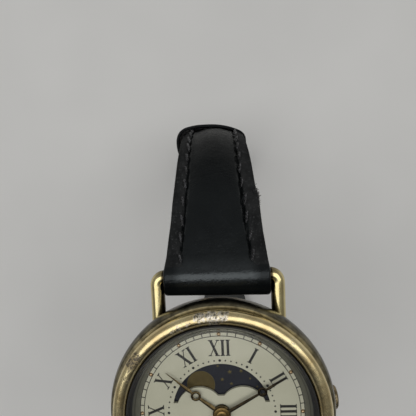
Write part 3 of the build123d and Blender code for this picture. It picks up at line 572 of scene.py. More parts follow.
def table(x, rows):
    """Linear interpolation in rows of (x, value)."""
    if x <= rows[0][0]:
        return rows[0][1]
    for (a, u), (b, v) in zip(rows, rows[1:]):
        if x <= b:
            return u + (v - u) * (x - a) / (b - a)
    return rows[-1][1]


# ------------------------------------------------------------------ dial printing
Z_D = 5.0
INK0, INK1 = Z_D + 0.002, Z_D + 0.016


def stroke(p, q, w0, w1=None):
    """Four corners of a stroke from p to q with widths at its ends, cut level with y."""
    w1 = w0 if w1 is None else w1
    dx, dy = q[0] - p[0], q[1] - p[1]
    k = math.hypot(dx, dy) / abs(dy)
    return [(p[0] - w0 / 2 * k, p[1]), (p[0] + w0 / 2 * k, p[1]), (q[0] + w1 / 2 * k, q[1]), (q[0] - w1 / 2 * k, q[1])]


H = 1.83
THICK, THIN, SERIF = 0.285, 0.095, 0.06


def serif(x, y, half, up, w=0.15):
    s = 1 if up else -1
    return [(x - half, y), (x + half, y), (x + half, y - s * SERIF), (x + w, y - s * (SERIF + 0.07)), (x - w, y - s * (SERIF + 0.07)), (x - half, y - s * SERIF)]


def glyph(ch):
    """(advance, outlines) with y from 0 to H and x centred on 0."""
    if ch == "I":
        return 0.59, [stroke((0, 0), (0, H), THICK), serif(0, H, 0.255, True), serif(0, 0, 0.255, False)]
    if ch == "V":
        return 1.30, [stroke((0.03, 0), (-0.38, H), THICK * 0.85, THICK), stroke((0.03, 0), (0.42, H), THIN * 1.2, THIN), serif(-0.38, H, 0.26, True), serif(0.42, H, 0.20, True, 0.09)]
    return 1.34, [stroke((0.38, 0), (-0.38, H), THICK), stroke((-0.41, 0), (0.41, H), THIN), serif(-0.38, H, 0.27, True), serif(0.42, H, 0.21, True, 0.09),
                  serif(0.38, 0, 0.27, False), serif(-0.42, 0, 0.21, False, 0.09)]


numerals = Build()
NAMES = {12: "XII", 1: "I", 2: "II", 3: "III", 4: "IIII", 5: "V", 6: "VI", 7: "VII", 8: "VIII", 9: "IX", 10: "X", 11: "XI"}
for h, word in NAMES.items():
    parts = [glyph(c) for c in word]
    total = sum(a for a, _ in parts)
    squeeze = min(1.0, 2.75 / total)
    x = -total / 2
    layer = 0
    for adv, outs in parts:
        for o in outs:
            pts = [((px + x + adv / 2) * squeeze, py + 6.50) for px, py in o]
            layer += 1
            numerals.prism(turn_xy(pts, 30 * h), INK0, INK1 + 0.0004 * (layer % 5))
        x += adv
ob = numerals.object("numerals", "print_ink", smooth=False)
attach(ob, "case")

track = Build()
track.flat_ring(9.26, 9.18, INK0, INK1)
track.flat_ring(8.815, 8.735, INK0, INK1)
for i in range(60):
    if i % 5:
        pts = [(-0.048, 8.79), (0.048, 8.79), (0.048, 9.2), (-0.048, 9.2)]
        track.prism(turn_xy(pts, 6 * i), INK0, INK1 - 0.001)
ob = track.object("minute_track", "track_ink", smooth=False)
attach(ob, "case")

dots = Build()
for i in range(60):
    r = 0.15 if i % 5 == 0 else 0.092
    cx, cy = turn_xy([(0, 5.98)], 6 * i)[0]
    dots.prism([(cx + r * math.cos(2 * math.pi * k / 14), cy + r * math.sin(2 * math.pi * k / 14)) for k in range(14)], INK0, INK1)
ob = dots.object("dial_dots", "print_ink", smooth=False)
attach(ob, "case")

# ------------------------------------------------------------------ moon disc printing
Z_M = 4.56
moons = Build()
rims = Build()
stars = Build()
MOON_A = -36.6
for k in (0, 1):
    cx, cy = turn_xy([(0, 3.76)], MOON_A + 180 * k)[0]
    R_M = 1.585
    moons.lathe([(0.0, Z_M + 0.002), (R_M - 0.06, Z_M + 0.002), (R_M - 0.06, Z_M + 0.012), (1.0, Z_M + 0.022), (0.0, Z_M + 0.026)], 72, cx, cy)
    rims.flat_ring(R_M, R_M - 0.075, Z_M + 0.002, Z_M + 0.022, 96, cx, cy)
STARS = [(-0.27, 5.13, 0.20), (1.05, 4.41, 0.30), (2.33, 4.50, 0.27), (0.18, 3.55, 0.26), (1.20, 3.04, 0.24), (3.31, 3.61, 0.17), (4.06, 2.66, 0.16),
         (4.75, 1.75, 0.20), (3.1, 1.9, 0.22), (5.1, 0.2, 0.18), (4.2, 0.7, 0.24), (-0.9, 2.0, 0.15), (-4.9, 0.6, 0.2)]
for k in (0, 1):
    for j, (sx, sy, sr) in enumerate(STARS):
        if k and j >= 11:
            continue
        sx, sy = turn_xy([(sx, sy)], 180 * k)[0]
        rot = rng.uniform(0, math.pi)
        pts = []
        for i in range(10):
            rr = sr if i % 2 == 0 else sr * 0.42
            a = rot + math.pi * i / 5
            pts.append((sx + rr * math.cos(a), sy + rr * math.sin(a)))
        n = len(pts)
        v = [(x, y, Z_M + 0.002) for x, y in pts] + [(sx, sy, Z_M + 0.03)]
        stars.add(v, [[i, (i + 1) % n, n] for i in range(n)] + [list(range(n))[::-1]])
for b, nm, mt in ((moons, "printed_moons", "moon_gold"), (rims, "moon_rims", "star_gold"), (stars, "printed_stars", "star_gold")):
    ob = b.object(nm, mt, smooth=True, sharp=30)
    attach(ob, "moon_disc")

# ------------------------------------------------------------------ hands


def hand(name, deg, z0, stations_arm, ring_at, ro, ri, stations_tip, hub, mat, replaces, body, bend=0.0):
    """Looped hand along +X, then turned; bend is how far its tip is bent sideways."""
    b = Build()

    def ridge(st):
        v = []
        for x, w, h in st:
            y = bend * max(0.0, x - ring_at) / (st[-1][0] - ring_at) if st[-1][0] > ring_at else 0.0
            v += [(x, y - w / 2, z0), (x, y - w / 2, z0 + 0.035), (x, y, z0 + h), (x, y + w / 2, z0 + 0.035), (x, y + w / 2, z0)]
        f = [[0, 1, 2, 3, 4][::-1]]
        n = len(st)
        for i in range(n - 1):
            for k in range(5):
                f.append([5 * i + k, 5 * i + (k + 1) % 5, 5 * (i + 1) + (k + 1) % 5, 5 * (i + 1) + k])
        f.append([5 * (n - 1) + k for k in range(5)])
        b.add(v, f)

    ridge(stations_arm)
    ridge(stations_tip)
    prof = []
    mid, half = (ro + ri) / 2, (ro - ri) / 2
    for k in range(9):
        a = math.pi * k / 8
        prof.append((mid + half * math.cos(a), z0 + 0.035 + 0.075 * math.sin(a)))
    prof += [(ri, z0), (ro, z0)]
    b.lathe(prof, 64, ring_at, 0.0)
    for prof in hub:
        b.lathe(prof, 72)
    a = math.radians(90 - deg)
    c, s = math.cos(a), math.sin(a)
    b.v = [(x * c - y * s, x * s + y * c, z) for x, y, z in b.v]
    ob = b.object(name, mat, True, 28)
    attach(ob, body)
    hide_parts(replaces)
    return ob


hand("hour_hand_bevelled", -53.0, 5.33,
     [(0.5, 0.54, 0.12), (0.95, 0.40, 0.13), (1.2, 0.47, 0.13), (2.0, 0.43, 0.13), (2.98, 0.33, 0.12)], 3.52, 0.57, 0.31,
     [(4.05, 0.22, 0.10), (4.3, 0.34, 0.12), (4.7, 0.45, 0.13), (5.2, 0.36, 0.12), (5.9, 0.20, 0.10), (6.8, 0.12, 0.08), (7.65, 0.06, 0.06), (7.75, 0.012, 0.04)],
     [[(0.745, 5.33), (0.745, 5.45), (0.80, 5.475), (0.94, 5.47), (1.0, 5.43), (1.0, 5.33)]], "hand_gold", "hour_hand", "hour", bend=-0.20)
hand("minute_hand_bevelled", 60.0, 5.62,
     [(0.4, 0.44, 0.11), (0.9, 0.34, 0.12), (1.1, 0.40, 0.12), (2.5, 0.36, 0.12), (4.74, 0.27, 0.11)], 5.27, 0.54, 0.25,
     [(5.76, 0.20, 0.09), (5.95, 0.28, 0.11), (6.25, 0.34, 0.12), (6.6, 0.27, 0.11), (7.2, 0.16, 0.09), (8.25, 0.055, 0.06), (8.35, 0.012, 0.04)],
     [[(0.305, 5.62), (0.305, 5.81), (0.0, 5.815), (0.0, 5.87), (0.34, 5.868), (0.52, 5.85), (0.60, 5.80), (0.62, 5.75), (0.80, 5.74), (0.90, 5.72), (0.92, 5.68), (0.92, 5.62)]][:0],
     "hand_dark_gold", "minute_hand", "minute")
hub = Build()
hub.lathe([(0.31, 5.62), (0.31, 5.80), (0.02, 5.81), (0.02, 5.86), (0.30, 5.868), (0.46, 5.855), (0.56, 5.83), (0.61, 5.78), (0.62, 5.745), (0.78, 5.742), (0.88, 5.725), (0.92, 5.68), (0.92, 5.62)], 96)
hub.lathe([(0.0, 5.815), (0.03, 5.815), (0.03, 5.868), (0.0, 5.87)], 24)
ob = hub.object("minute_hub", "hub_gold", True, 30)
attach(ob, "minute")

# ------------------------------------------------------------------ strap path (millimetres, 12 o'clock side)
LUG_Y, LUG_Z, FOLD_R = 14.95, 2.6, 1.5
TH = math.radians(37.0)
NN = (math.sin(TH), math.cos(TH))
TT = (math.cos(TH), -math.sin(TH))
S0 = (LUG_Y + FOLD_R * NN[0], LUG_Z + FOLD_R * NN[1])
L1 = (22.7 - S0[0]) / TT[0]
E1 = (22.7, S0[1] - (22.7 - S0[0]) * math.tan(TH))
R_UP, R_LOW, DROP = 27.0, 11.0, 8.0
C1 = (E1[0] - R_UP * NN[0], E1[1] - R_UP * NN[1])
C2 = (C1[0] + R_UP - R_LOW, C1[1] - DROP)
L2 = L1 + R_UP * (math.pi / 2 - TH)
L3 = L2 + DROP
L4 = L3 + R_LOW * math.pi / 2
FLOOR = C2[1] - R_LOW
T_OUT, T_LIN = 1.5, 0.6
WIDTHS = [(FLOOR - 3, 10.0), (-30.0, 10.2), (-18.0, 10.5), (-10.0, 10.68), (-5.5, 10.8), (-3.8, 10.9), (-2.6, 11.02), (-1.8, 11.17), (-0.4, 11.4), (0.7, 11.65), (1.5, 11.8), (2.5, 11.95), (3.6, 12.0), (8.0, 12.0)]


def path(s):
    """Point on the outer surface at the strap's edge and the outward normal, s mm from the fold."""
    if s <= L1:
        return (S0[0] + TT[0] * s, S0[1] + TT[1] * s), NN
    if s <= L2:
        a = math.pi / 2 - TH - (s - L1) / R_UP
        n = (math.cos(a), math.sin(a))
        return (C1[0] + R_UP * n[0], C1[1] + R_UP * n[1]), n
    if s <= L3:
        return (C1[0] + R_UP, C1[1] - (s - L2)), (1.0, 0.0)
    if s <= L4:
        a = -(s - L3) / R_LOW
        n = (math.cos(a), math.sin(a))
        return (C2[0] + R_LOW * n[0], C2[1] + R_LOW * n[1]), n
    return (C2[0] - (s - L4), FLOOR), (0.0, -1.0)


def width_at(z):
    return table(z, WIDTHS)


FIRST, PITCH = 1.75, 2.55                                    # middle of the first stitch and the way from one to the next
ROW_L = [(1.2, -4.15), (2.4, -4.40), (7.0, -4.18), (12.0, -3.90), (18.0, -3.82), (30.0, -3.80), (45.0, -3.55), (70.0, -3.45)]
ROW_R = [(1.5, 4.30), (2.8, 4.25), (5.3, 4.0), (8.0, 3.82), (12.0, 3.62), (16.0, 3.40), (24.0, 3.25), (34.0, 3.25), (50.0, 3.40), (70.0, 3.45)]


# relief over the edge where the strap turns out of sight: flat worn margins and a low dome between the stitching
BEND_RELIEF = [(-5.2, 0.42), (-4.9, 0.85), (-4.23, 1.18), (-3.8, 1.30), (-3.4, 1.32), (-2.8, 1.34), (-2.46, 1.44), (-1.5, 1.66), (-0.35, 1.76), (0.7, 1.68), (1.87, 1.36),
               (2.4, 1.17), (3.1, 1.06), (3.7, 0.93), (4.2, 0.66), (4.65, 0.30)]


def crown_12(x, s, hw):
    """Height of the padded outer surface over the strap's edge."""
    xl, xr = table(s, ROW_L), table(s, ROW_R)
    arch = table(s, [(0, 0.0), (2, 0.02), (8, 0.25), (16, 0.70), (24, 1.0), (36, 1.0), (44, 0.45), (54, 0.12), (60, 0.05)])
    pad = 0.62 * smooth01((s + 1.0) / 11.0) * (1 - smooth01((s - 36) / 28))
    u = min(1.0, abs(x) / hw)
    h = arch * (1 - u ** 2.6)
    gl, gr = xl + 0.27, xr - 0.27
    mid, half = (gl + gr) / 2, (gr - gl) / 2 - 0.04
    v = abs(x - mid) / half
    if v < 1:
        h += pad * (1 - v ** 3.2) ** 0.75
    k = smooth01((s - 8) / 15) * (1 - smooth01((s - 36) / 12))
    if k > 0:
        h = h * (1 - k) + k * table(x * (5.2 / hw if x < 0 else 4.65 / hw), BEND_RELIEF)
    deep = table(s, [(0, 0), (1.0, 0.0), (1.6, 0.22), (60, 0.22), (72, 0.12)]) * (1.25 - 0.45 * math.cos(2 * math.pi * (s - FIRST) / PITCH))
    for c in (gl, gr):
        d = (x - c) / 0.19
        h -= deep * math.exp(-d * d)
    # scuffed right edge
    if x > 0.55 * hw and 8.6 < s < 12.6:
        h += 0.07 * math.sin(9.1 * s + 5.3 * x) * math.sin(7.7 * x - 3.1 * s) * math.sin(math.pi * (s - 8.6) / 4.0)
    return h


def fold_12(x, s, hw):
    """The fold round the lug's bar hangs a little deeper on the right."""
    if s <= -math.pi * FOLD_R or s > 0:
        return 0.0
    a = -s / FOLD_R
    return 0.10 * (x / hw) * math.exp(-((a - 1.97) / 0.7) ** 2)


def crown_6(x, s, hw):
    arch = table(s, [(0, 0.0), (2, 0.02), (8, 0.20), (16, 0.45), (24, 0.6), (36, 0.6), (44, 0.3), (54, 0.08), (60, 0.0)])
    pad = 0.60 * smooth01((s + 1.0) / 11.0) * (1 - smooth01((s - 30) / 24))
    u = min(1.0, abs(x) / hw)
    h = arch * (1 - u ** 2.6)
    c = hw - 1.55
    half = c - 0.12
    v = abs(x) / half if half > 0 else 2
    if v < 1:
        h += pad * (1 - v ** 3.2) ** 0.75
    for cc in (-c, c):
        d = (x - cc) / 0.26
        h -= table(s, [(0, 0), (1.0, 0.0), (1.6, 0.16), (90, 0.14)]) * math.exp(-d * d)
    return h


def offset_pt(p, n, d):
    return (p[0] - n[0] * d, p[1] - n[1] * d)


def fold_stations():
    """Stations of the outer leather round the lug's bar, from its tucked end to the outer surface: (outer point, inner point, normal, s)."""
    st = []
    for i in range(9):                                       # tucked end under the strap
        u = 2.3 * (1 - i / 8)
        k = smooth01(u / 2.3)
        do, di = 3.0 - 0.86 * k, 2.17 - 0.60 * k
        base = (S0[0] + TT[0] * u, S0[1] + TT[1] * u)
        st.append((offset_pt(base, NN, do), offset_pt(base, NN, di), (-NN[0], -NN[1]), -6.0))
    for i in range(1, 41):                                   # round the bar
        a = math.pi * (1 - i / 40)
        ang = math.pi / 2 - TH + a
        n = (math.cos(ang), math.sin(ang))
        big = FOLD_R + 0.74 * math.exp(-((a - 1.97) / 0.56) ** 2)
        st.append(((LUG_Y + big * n[0], LUG_Z + big * n[1]), (LUG_Y + 0.68 * n[0], LUG_Z + 0.68 * n[1]), n, -a * FOLD_R))
    return st


def run_stations(s0, s1, step, d_out, d_in, ramp=True):
    st = []
    n = max(2, int(round((s1 - s0) / step)))
    for i in range(n + 1):
        s = s0 + (s1 - s0) * i / n
        p, nn = path(s)
        di = d_in
        if ramp:
            di = 0.82 + (d_in - 0.82) * smooth01(s / 1.3)
        st.append((offset_pt(p, nn, d_out), offset_pt(p, nn, di), nn, s))
    return st


def band(name, stations, halfw, crown, mat, side=1, nx=57, rc=0.34, rb=0.16, rows=None, second=None):
    """Strip of leather through stations; halfw(point, s) is its half-width or (left, right), and crown(x, s, hw) its relief."""
    v, f, which, xs_of = [], [], [], []
    ring = None
    for (o, i, n, s) in stations:
        hw = halfw(o, s)
        hl, hr = hw if isinstance(hw, tuple) else (hw, hw)
        t = math.hypot(o[0] - i[0], o[1] - i[1])
        c = min(rc, 0.42 * t, hr * 0.9)
        b = min(rb, 0.25 * t, hr * 0.5)
        pts = []
        for k in range(5):                                   # left top corner
            a = math.pi - (math.pi / 2) * k / 5
            pts.append((-hl + c + c * math.cos(a), -c + c * math.sin(a), None))
        for k in range(nx):
            x = (-hl + c) + (hl + hr - 2 * c) * k / (nx - 1)
            pts.append((x, 0.0, crown(x, s, hl if x < 0 else hr)))
        for k in range(1, 6):
            a = math.pi / 2 - (math.pi / 2) * k / 5
            pts.append((hr - c + c * math.cos(a), -c + c * math.sin(a), None))
        for k in range(4):
            a = -(math.pi / 2) * k / 3
            pts.append((hr - b + b * math.cos(a), -t + b + b * math.sin(a), None))
        for k in range(1, 6):
            pts.append((hr - b - (hl + hr - 2 * b) * k / 6, -t, None))
        for k in range(4):
            a = -math.pi / 2 - (math.pi / 2) * k / 3
            pts.append((-hl + b + b * math.cos(a), -t + b + b * math.sin(a), None))
        e0 = crown(-hl + c, s, hl)
        e1 = crown(hr - c, s, hr)
        for x, d, h in pts:
            if h is None:
                e = e0 if x < 0 else e1
                h = d + e * max(0.0, 1 + d / max(t, 0.01)) if d > -t * 0.5 else d
            y, z = o[0] + n[0] * h, o[1] + n[1] * h
            v.append((x * side, y * side, z))
        xs_of.append((s, [q[0] if q[1] > -0.6 * t else None for q in pts]))
        if ring is None:
            ring = len(pts)
    ns = len(stations)
    for a in range(ns - 1):
        s, xs = xs_of[a]
        lo, hi = rows(s) if rows else (0, 0)
        for k in range(ring):
            f.append([a * ring + k, a * ring + (k + 1) % ring, (a + 1) * ring + (k + 1) % ring, (a + 1) * ring + k])
            which.append(1 if rows and s > 0.3 and (xs[k] is None or xs[k] < lo or xs[k] > hi) else 0)
    f.append(list(range(ring))[::-1])
    f.append([(ns - 1) * ring + k for k in range(ring)])
    return make_mesh(name, v, f, mat, True, 50, second, which + [0, 0])


def cut(ob, cutters):
    """Boolean difference, applied."""
    for c in cutters:
        md = ob.modifiers.new("cut", "BOOLEAN")
        md.operation = "DIFFERENCE"
        md.solver = "EXACT"
        md.object = c
    bpy.context.view_layer.update()
    dg = bpy.context.evaluated_depsgraph_get()
    me = bpy.data.meshes.new_from_object(ob.evaluated_get(dg))
    ob.modifiers.clear()
    ob.data = me
    for c in cutters:
        bpy.data.objects.remove(c)


def cutter(*shapes):
    b = Build()
    for vf in shapes:
        b.add(*vf)
    return b.object("cutter", "leather_edge", False)


def box_vf(x0, x1, y0, y1, z0, z1):
    v = [(x, y, z) for x in (x0, x1) for y in (y0, y1) for z in (z0, z1)]
    return v, [[0, 1, 3, 2], [4, 6, 7, 5], [0, 4, 5, 1], [2, 3, 7, 6], [0, 2, 6, 4], [1, 5, 7, 3]]


def rod_vf(centre, axis, r, half, n=28):
    """Cylinder through centre along axis (y, z)."""
    ay, az = axis
    v = []
    for e in (-half, half):
        for k in range(n):
            a = 2 * math.pi * k / n
            v.append((r * math.cos(a), centre[0] + ay * e + r * math.sin(a) * (-az), centre[1] + az * e + r * math.sin(a) * ay))
    f = [list(range(n))[::-1], list(range(n, 2 * n))] + [[k, (k + 1) % n, n + (k + 1) % n, n + k] for k in range(n)]
    return v, f


# ------------------------------------------------------------------ 12 o'clock strap
BUCKLE_Y = 17.0
ZB = FLOOR + 1.5
S_END = L4 + (C2[0] - BUCKLE_Y)
st = fold_stations() + run_stations(0.25, S_END, 0.30, 0.0, T_OUT)[0:]
# thin towards the buckle's bar, then round it and back on the inside
tail = []
for (o, i, n, s) in st:
    if s > S_END - 1.4:
        k = smooth01((s - (S_END - 1.4)) / 1.4)
        d = T_OUT + (0.93 - T_OUT) * k
        i = offset_pt(o, n, d)
    tail.append((o, i, n, s))
st = tail
for k in range(1, 33):
    a = math.pi * k / 32
    n = (-math.sin(a), -math.cos(a))
    st.append(((BUCKLE_Y + 1.5 * n[0], ZB + 1.5 * n[1]), (BUCKLE_Y + 0.57 * n[0], ZB + 0.57 * n[1]), n, S_END + 1.5 * a))
for k in range(1, 11):
    u = 3.2 * k / 10
    e = smooth01(u / 3.2)
    y = BUCKLE_Y + u
    st.append(((y, FLOOR + 3.0 - 0.15 * e), (y, FLOOR + 2.07 + 0.06 * e), (0.0, 1.0), S_END + 5 + u))


LESS_L = [(-6.0, 0.0), (-4.6, -0.10), (0.0, -0.12), (1.0, 0.02), (2.0, 0.14), (6.0, 0.18), (10.0, 0.09), (14.0, 0.13), (20.0, 0.16), (24.0, 0.08), (34.0, 0.05), (44.0, 0.0)]
LESS_R = [(-6.0, 0.0), (-4.6, -0.10), (0.0, -0.13), (1.0, -0.02), (2.0, 0.05), (5.0, 0.12), (8.0, 0.02), (9.2, -0.02), (10.2, -0.12), (11.2, 0.10), (12.0, 0.18), (16.0, 0.27), (20.0, 0.42),
          (22.0, 0.50), (24.0, 0.58), (27.0, 0.64), (34.0, 0.45), (44.0, 0.0)]


def hw_12(o, s):
    """Left and right half-widths: the worn strap leans a little to the left where it bends down."""
    w = width_at(o[1]) / 2 - (0.0 if s < S_END + 0.5 else 0.1)
    return w - table(s, LESS_L), w - table(s, LESS_R)


strap = band("strap_12_leather", st, hw_12, lambda x, s, hw: crown_12(x, s, hw) if 0 < s < S_END + 0.3 else fold_12(x, s, hw), "leather_black",
             rows=lambda s: (table(s, ROW_L) + 0.1, table(s, ROW_R) - 0.1), second="leather_margin")
cut(strap, [cutter(box_vf(-0.85, 0.85, BUCKLE_Y - 2.5, BUCKLE_Y + 1.5, FLOOR - 1.0, FLOOR + 4.0))])
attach(strap, "strap_12")
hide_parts("strap_12")

lining = band("strap_12_inner", run_stations(2.1, S_END - 2.6, 0.5, T_OUT + 0.005, T_OUT + T_LIN, ramp=False), lambda o, s: tuple(w - 0.07 for w in hw_12(o, s)), lambda x, s, hw: 0.0,
              "leather_lining", nx=13, rc=0.1, rb=0.2)
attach(lining, "strap_12")
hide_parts("strap_12_lining")


def surface(x, s, crown, hw, side=1):
    p, n = path(s)
    h = crown(x, s, hw)
    return Vector((x * side, (p[0] + n[0] * h) * side, p[1] + n[1] * h)), Vector((0.0, n[0] * side, n[1]))


def stitches(name, rows, s1, crown, hw_of, body, side=1):
    """Rows of short stitches, each of two strands laid round each other; ends dip into the leather."""
    b = Build()
    for row, slant in rows:
        k = FIRST
        while k + 1 < s1:
            c = k + rng.uniform(-0.10, 0.10)
            sl = slant * (1 + rng.uniform(-0.6, 0.6))
            ln = 1.36 * (1 + rng.uniform(-0.22, 0.22))
            off = rng.uniform(-0.09, 0.09)
            ph = rng.uniform(0, math.pi)
            for strand in (0, 1):
                pts, ups = [], []
                m = 13
                for i in range(m):
                    t = i / (m - 1)
                    si = c + (t - 0.5) * ln
                    hw = hw_of(si)
                    turn = ph + math.pi * strand + 3.4 * math.pi * t
                    x = row(si, hw) + (t - 0.5) * sl + off + 0.075 * math.cos(turn)
                    q, n = surface(x, si, crown, hw, side)
                    lift = 0.05 + 0.17 * (1 - (2 * t - 1) ** 4) + 0.06 * math.sin(turn) - (0.17 if i in (0, m - 1) else 0)
                    if n.z < -0.8:                           # pressed flat where the strap lies on the table
                        lift = min(lift, 0.0)
                    pts.append(tuple(q + n * lift))
                    ups.append(tuple(n))
                b.tube(pts, 0.105, 8, 0.95, 0.6, ups)
            for _ in range(3):                               # stray fibres of the thread
                si = c + rng.uniform(-0.7, 0.7)
                hw = hw_of(si)
                q, n = surface(row(si, hw) + off + rng.uniform(-0.12, 0.12), si, crown, hw, side)
                if n.z < -0.8:
                    continue
                d = Vector((rng.uniform(-1, 1), rng.uniform(-0.8, 0.8), rng.uniform(-0.4, 0.4)))
                q2 = q + n * 0.16 + d * 0.12
                b.tube([tuple(q + n * 0.05), tuple(q2), tuple(q2 + d * 0.16 + n * rng.uniform(-0.06, 0.06))], 0.032, 6, 1.0, 0.5)
            k += PITCH
    ob = b.object(name, "thread_black", True, 0)
    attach(ob, body)
    return ob


def hw_s(s):
    p, _ = path(s)
    return width_at(p[1]) / 2


stitches("strap_12_stitches", [(lambda s, hw: table(s, ROW_L), -0.22), (lambda s, hw: table(s, ROW_R), 0.22)], 58.0, crown_12, hw_s, "strap_12")

# the torn spot on the right edge: short loose fibres
tuft = Build()
for i in range(46):
    si = 10.6 + rng.gauss(0, 0.85)
    w = hw_12(path(si)[0], si)[1]
    q, n = surface(w - 0.30, si, crown_12, w)
    t = Vector((0.0, -n.z, n.y))
    q = q - n * rng.uniform(0.0, 0.35)
    d = (Vector((1, 0, 0)) * rng.uniform(0.5, 1.0) + t * rng.uniform(-0.8, 0.8) + n * rng.uniform(-0.2, 0.7)).normalized()
    e = (d + Vector((rng.uniform(-0.5, 0.5), rng.uniform(-0.5, 0.5), rng.uniform(-0.5, 0.5)))).normalized()
    ln = rng.uniform(0.25, 0.62)
    tuft.tube([tuple(q), tuple(q + d * ln * 0.5), tuple(q + d * ln * 0.75 + e * ln * 0.25)], rng.uniform(0.022, 0.05), 6, 1.0, 0.5)
ob = tuft.object("scuffed_edge_fibres", "scuffed_fibre", True, 0)
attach(ob, "strap_12")

# ------------------------------------------------------------------ 6 o'clock strap
TAIL_END = 3.5
S6 = L4 + C2[0] + TAIL_END
TIP = [(40.0, 8.0), (2.4, 5.2), (0.2, 4.3), (-2.0, 2.6), (-3.3, 0.9), (-3.5, 0.12)]


def hw_6(o, s):
    w = width_at(o[1]) / 2
    if s > L4 + C2[0] - 4.5:
        y = C2[0] - (s - L4)
        rows = [(-3.49, 0.35), (-3.3, 1.0), (-2.9, 1.65), (-2.0, 2.62), (-0.9, 3.5), (0.2, 4.25), (1.3, 4.75), (2.4, 4.98), (40, 5.0)]
        w = min(w, table(y, rows))
    return w


st = fold_stations() + run_stations(0.25, S6 - 4.0, 0.30, 0.0, T_OUT) + run_stations(S6 - 3.85, S6 - 0.02, 0.12, 0.0, T_OUT)
strap6 = band("strap_6_leather", st, hw_6, lambda x, s, hw: crown_6(x, s, hw) if (s > 0 and hw > 1.8) else 0.0, "leather_black", side=-1,
              rows=lambda s: (-3.75, 3.75) if s < 60 else (-3.4, 3.4), second="leather_margin")
lin6 = band("strap_6_inner", run_stations(2.1, S6 - 4.0, 0.5, T_OUT + 0.005, T_OUT + T_LIN, ramp=False) + run_stations(S6 - 3.85, S6 - 0.1, 0.15, T_OUT + 0.005, T_OUT + T_LIN, ramp=False),
            lambda o, s: max(0.2, hw_6(o, s) - 0.07), lambda x, s, hw: 0.0, "leather_lining", side=-1, nx=13, rc=0.1, rb=0.2)
HOLES = []
for i in range(4):
    HOLES.append(((4.4 + 5.6 * i, FLOOR + 1.0), (0.0, 1.0)))
for i in range(3):
    a = math.radians(-90 + (i + 1) * 5.6 / R_LOW * 57.3 - (C2[0] - 21.2) / R_LOW * 57.3)
    HOLES.append(((C2[0] + (R_LOW - 1) * math.cos(a), C2[1] + (R_LOW - 1) * math.sin(a)), (math.cos(a), math.sin(a))))


def mirrored(vf):
    return [(-x, -y, z) for x, y, z in vf[0]], vf[1]


cut(strap6, [cutter(*(mirrored(rod_vf(c, d, 0.75, 2.6)) for c, d in HOLES))])
cut(lin6, [cutter(*(mirrored(rod_vf(c, d, 0.75, 2.6)) for c, d in HOLES))])
for ob, nd, sl in ((strap6, "strap_6", "leather_black"), (lin6, "strap_6_lining", "leather_lining")):
    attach(ob, "strap_6")
    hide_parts(nd)


def hw6_s(s):
    p, _ = path(s)
    return hw_6(p, s)


stitches("strap_6_stitches", [(lambda s, hw: -(hw - 1.55), -0.22), (lambda s, hw: hw - 1.55, 0.22)], S6 - 3.0, crown_6, hw6_s, "strap_6", -1)

# ------------------------------------------------------------------ keepers


def closed_curve(pts, n):
    """Smooth closed curve through points, n samples evenly spaced."""
    out = []
    k = len(pts)
    for i in range(k):
        p0, p1, p2, p3 = (Vector(pts[(i + j - 1) % k]) for j in range(4))
        for t in [j / 24 for j in range(24)]:
            out.append(0.5 * ((2 * p1) + (p2 - p0) * t + (2 * p0 - 5 * p1 + 4 * p2 - p3) * t * t + (3 * p1 - p0 - 3 * p2 + p3) * t ** 3))
    ln = [0.0]
    for a, b in zip(out, out[1:] + out[:1]):
        ln.append(ln[-1] + (b - a).length)
    res = []
    j = 0
    for i in range(n):
        d = ln[-1] * i / n
        while ln[j + 1] < d:
            j += 1
        t = (d - ln[j]) / max(1e-9, ln[j + 1] - ln[j])
        res.append(out[j].lerp(out[(j + 1) % len(out)], t))
    return res


def loop_band(name, mid, centre, a0, a1, thick, mat, body, node):
    """Leather loop: mid is its middle line as (x, r) points, bent round the X axis through centre from a0 to a1 degrees."""
    line = closed_curve([Vector((x, r)) for x, r in mid], 110)
    n = len(line)
    sec = []                                                  # (across, outward) of the band's own section
    half = 0.5
    for k in range(5):
        a = math.pi / 2 - math.pi / 2 * k / 4
        sec.append((1 - 0.055 + 0.055 * math.cos(a), half * (0.45 + 0.55 * math.sin(a))))
    for k in range(5):
        a = -math.pi / 2 * k / 4
        sec.append((1 - 0.055 + 0.055 * math.cos(a), half * (-0.45 + 0.55 * math.sin(a))))
    top = [(u, half) for u in (-0.8, -0.4, 0.0, 0.4, 0.8)]
    sec = [(-u, w) for u, w in sec[::-1]][0:0] + sec
    left = [(-u, w) for u, w in reversed(sec)]
    prof = top + sec + [(-u, -half) for u in (-0.8, -0.4, 0.0, 0.4, 0.8)] + left
    v, f = [], []
    for i in range(n):
        p = line[i]
        t = (line[(i + 1) % n] - line[i - 1]).normalized()
        nv = Vector((t.y, -t.x))
        for u, w in prof:
            q = p + nv * (w * thick)
            a = math.radians((a0 + a1) / 2 + u * (a1 - a0) / 2)
            v.append((q.x, centre[0] + q.y * math.cos(a), centre[1] + q.y * math.sin(a)))
    k = len(prof)
    for i in range(n):
        for j in range(k):
            f.append([i * k + j, i * k + (j + 1) % k, ((i + 1) % n) * k + (j + 1) % k, ((i + 1) % n) * k + j])
    ob = make_mesh(name, v, f, mat, True, 0)
    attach(ob, body)
    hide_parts(node)
    return ob


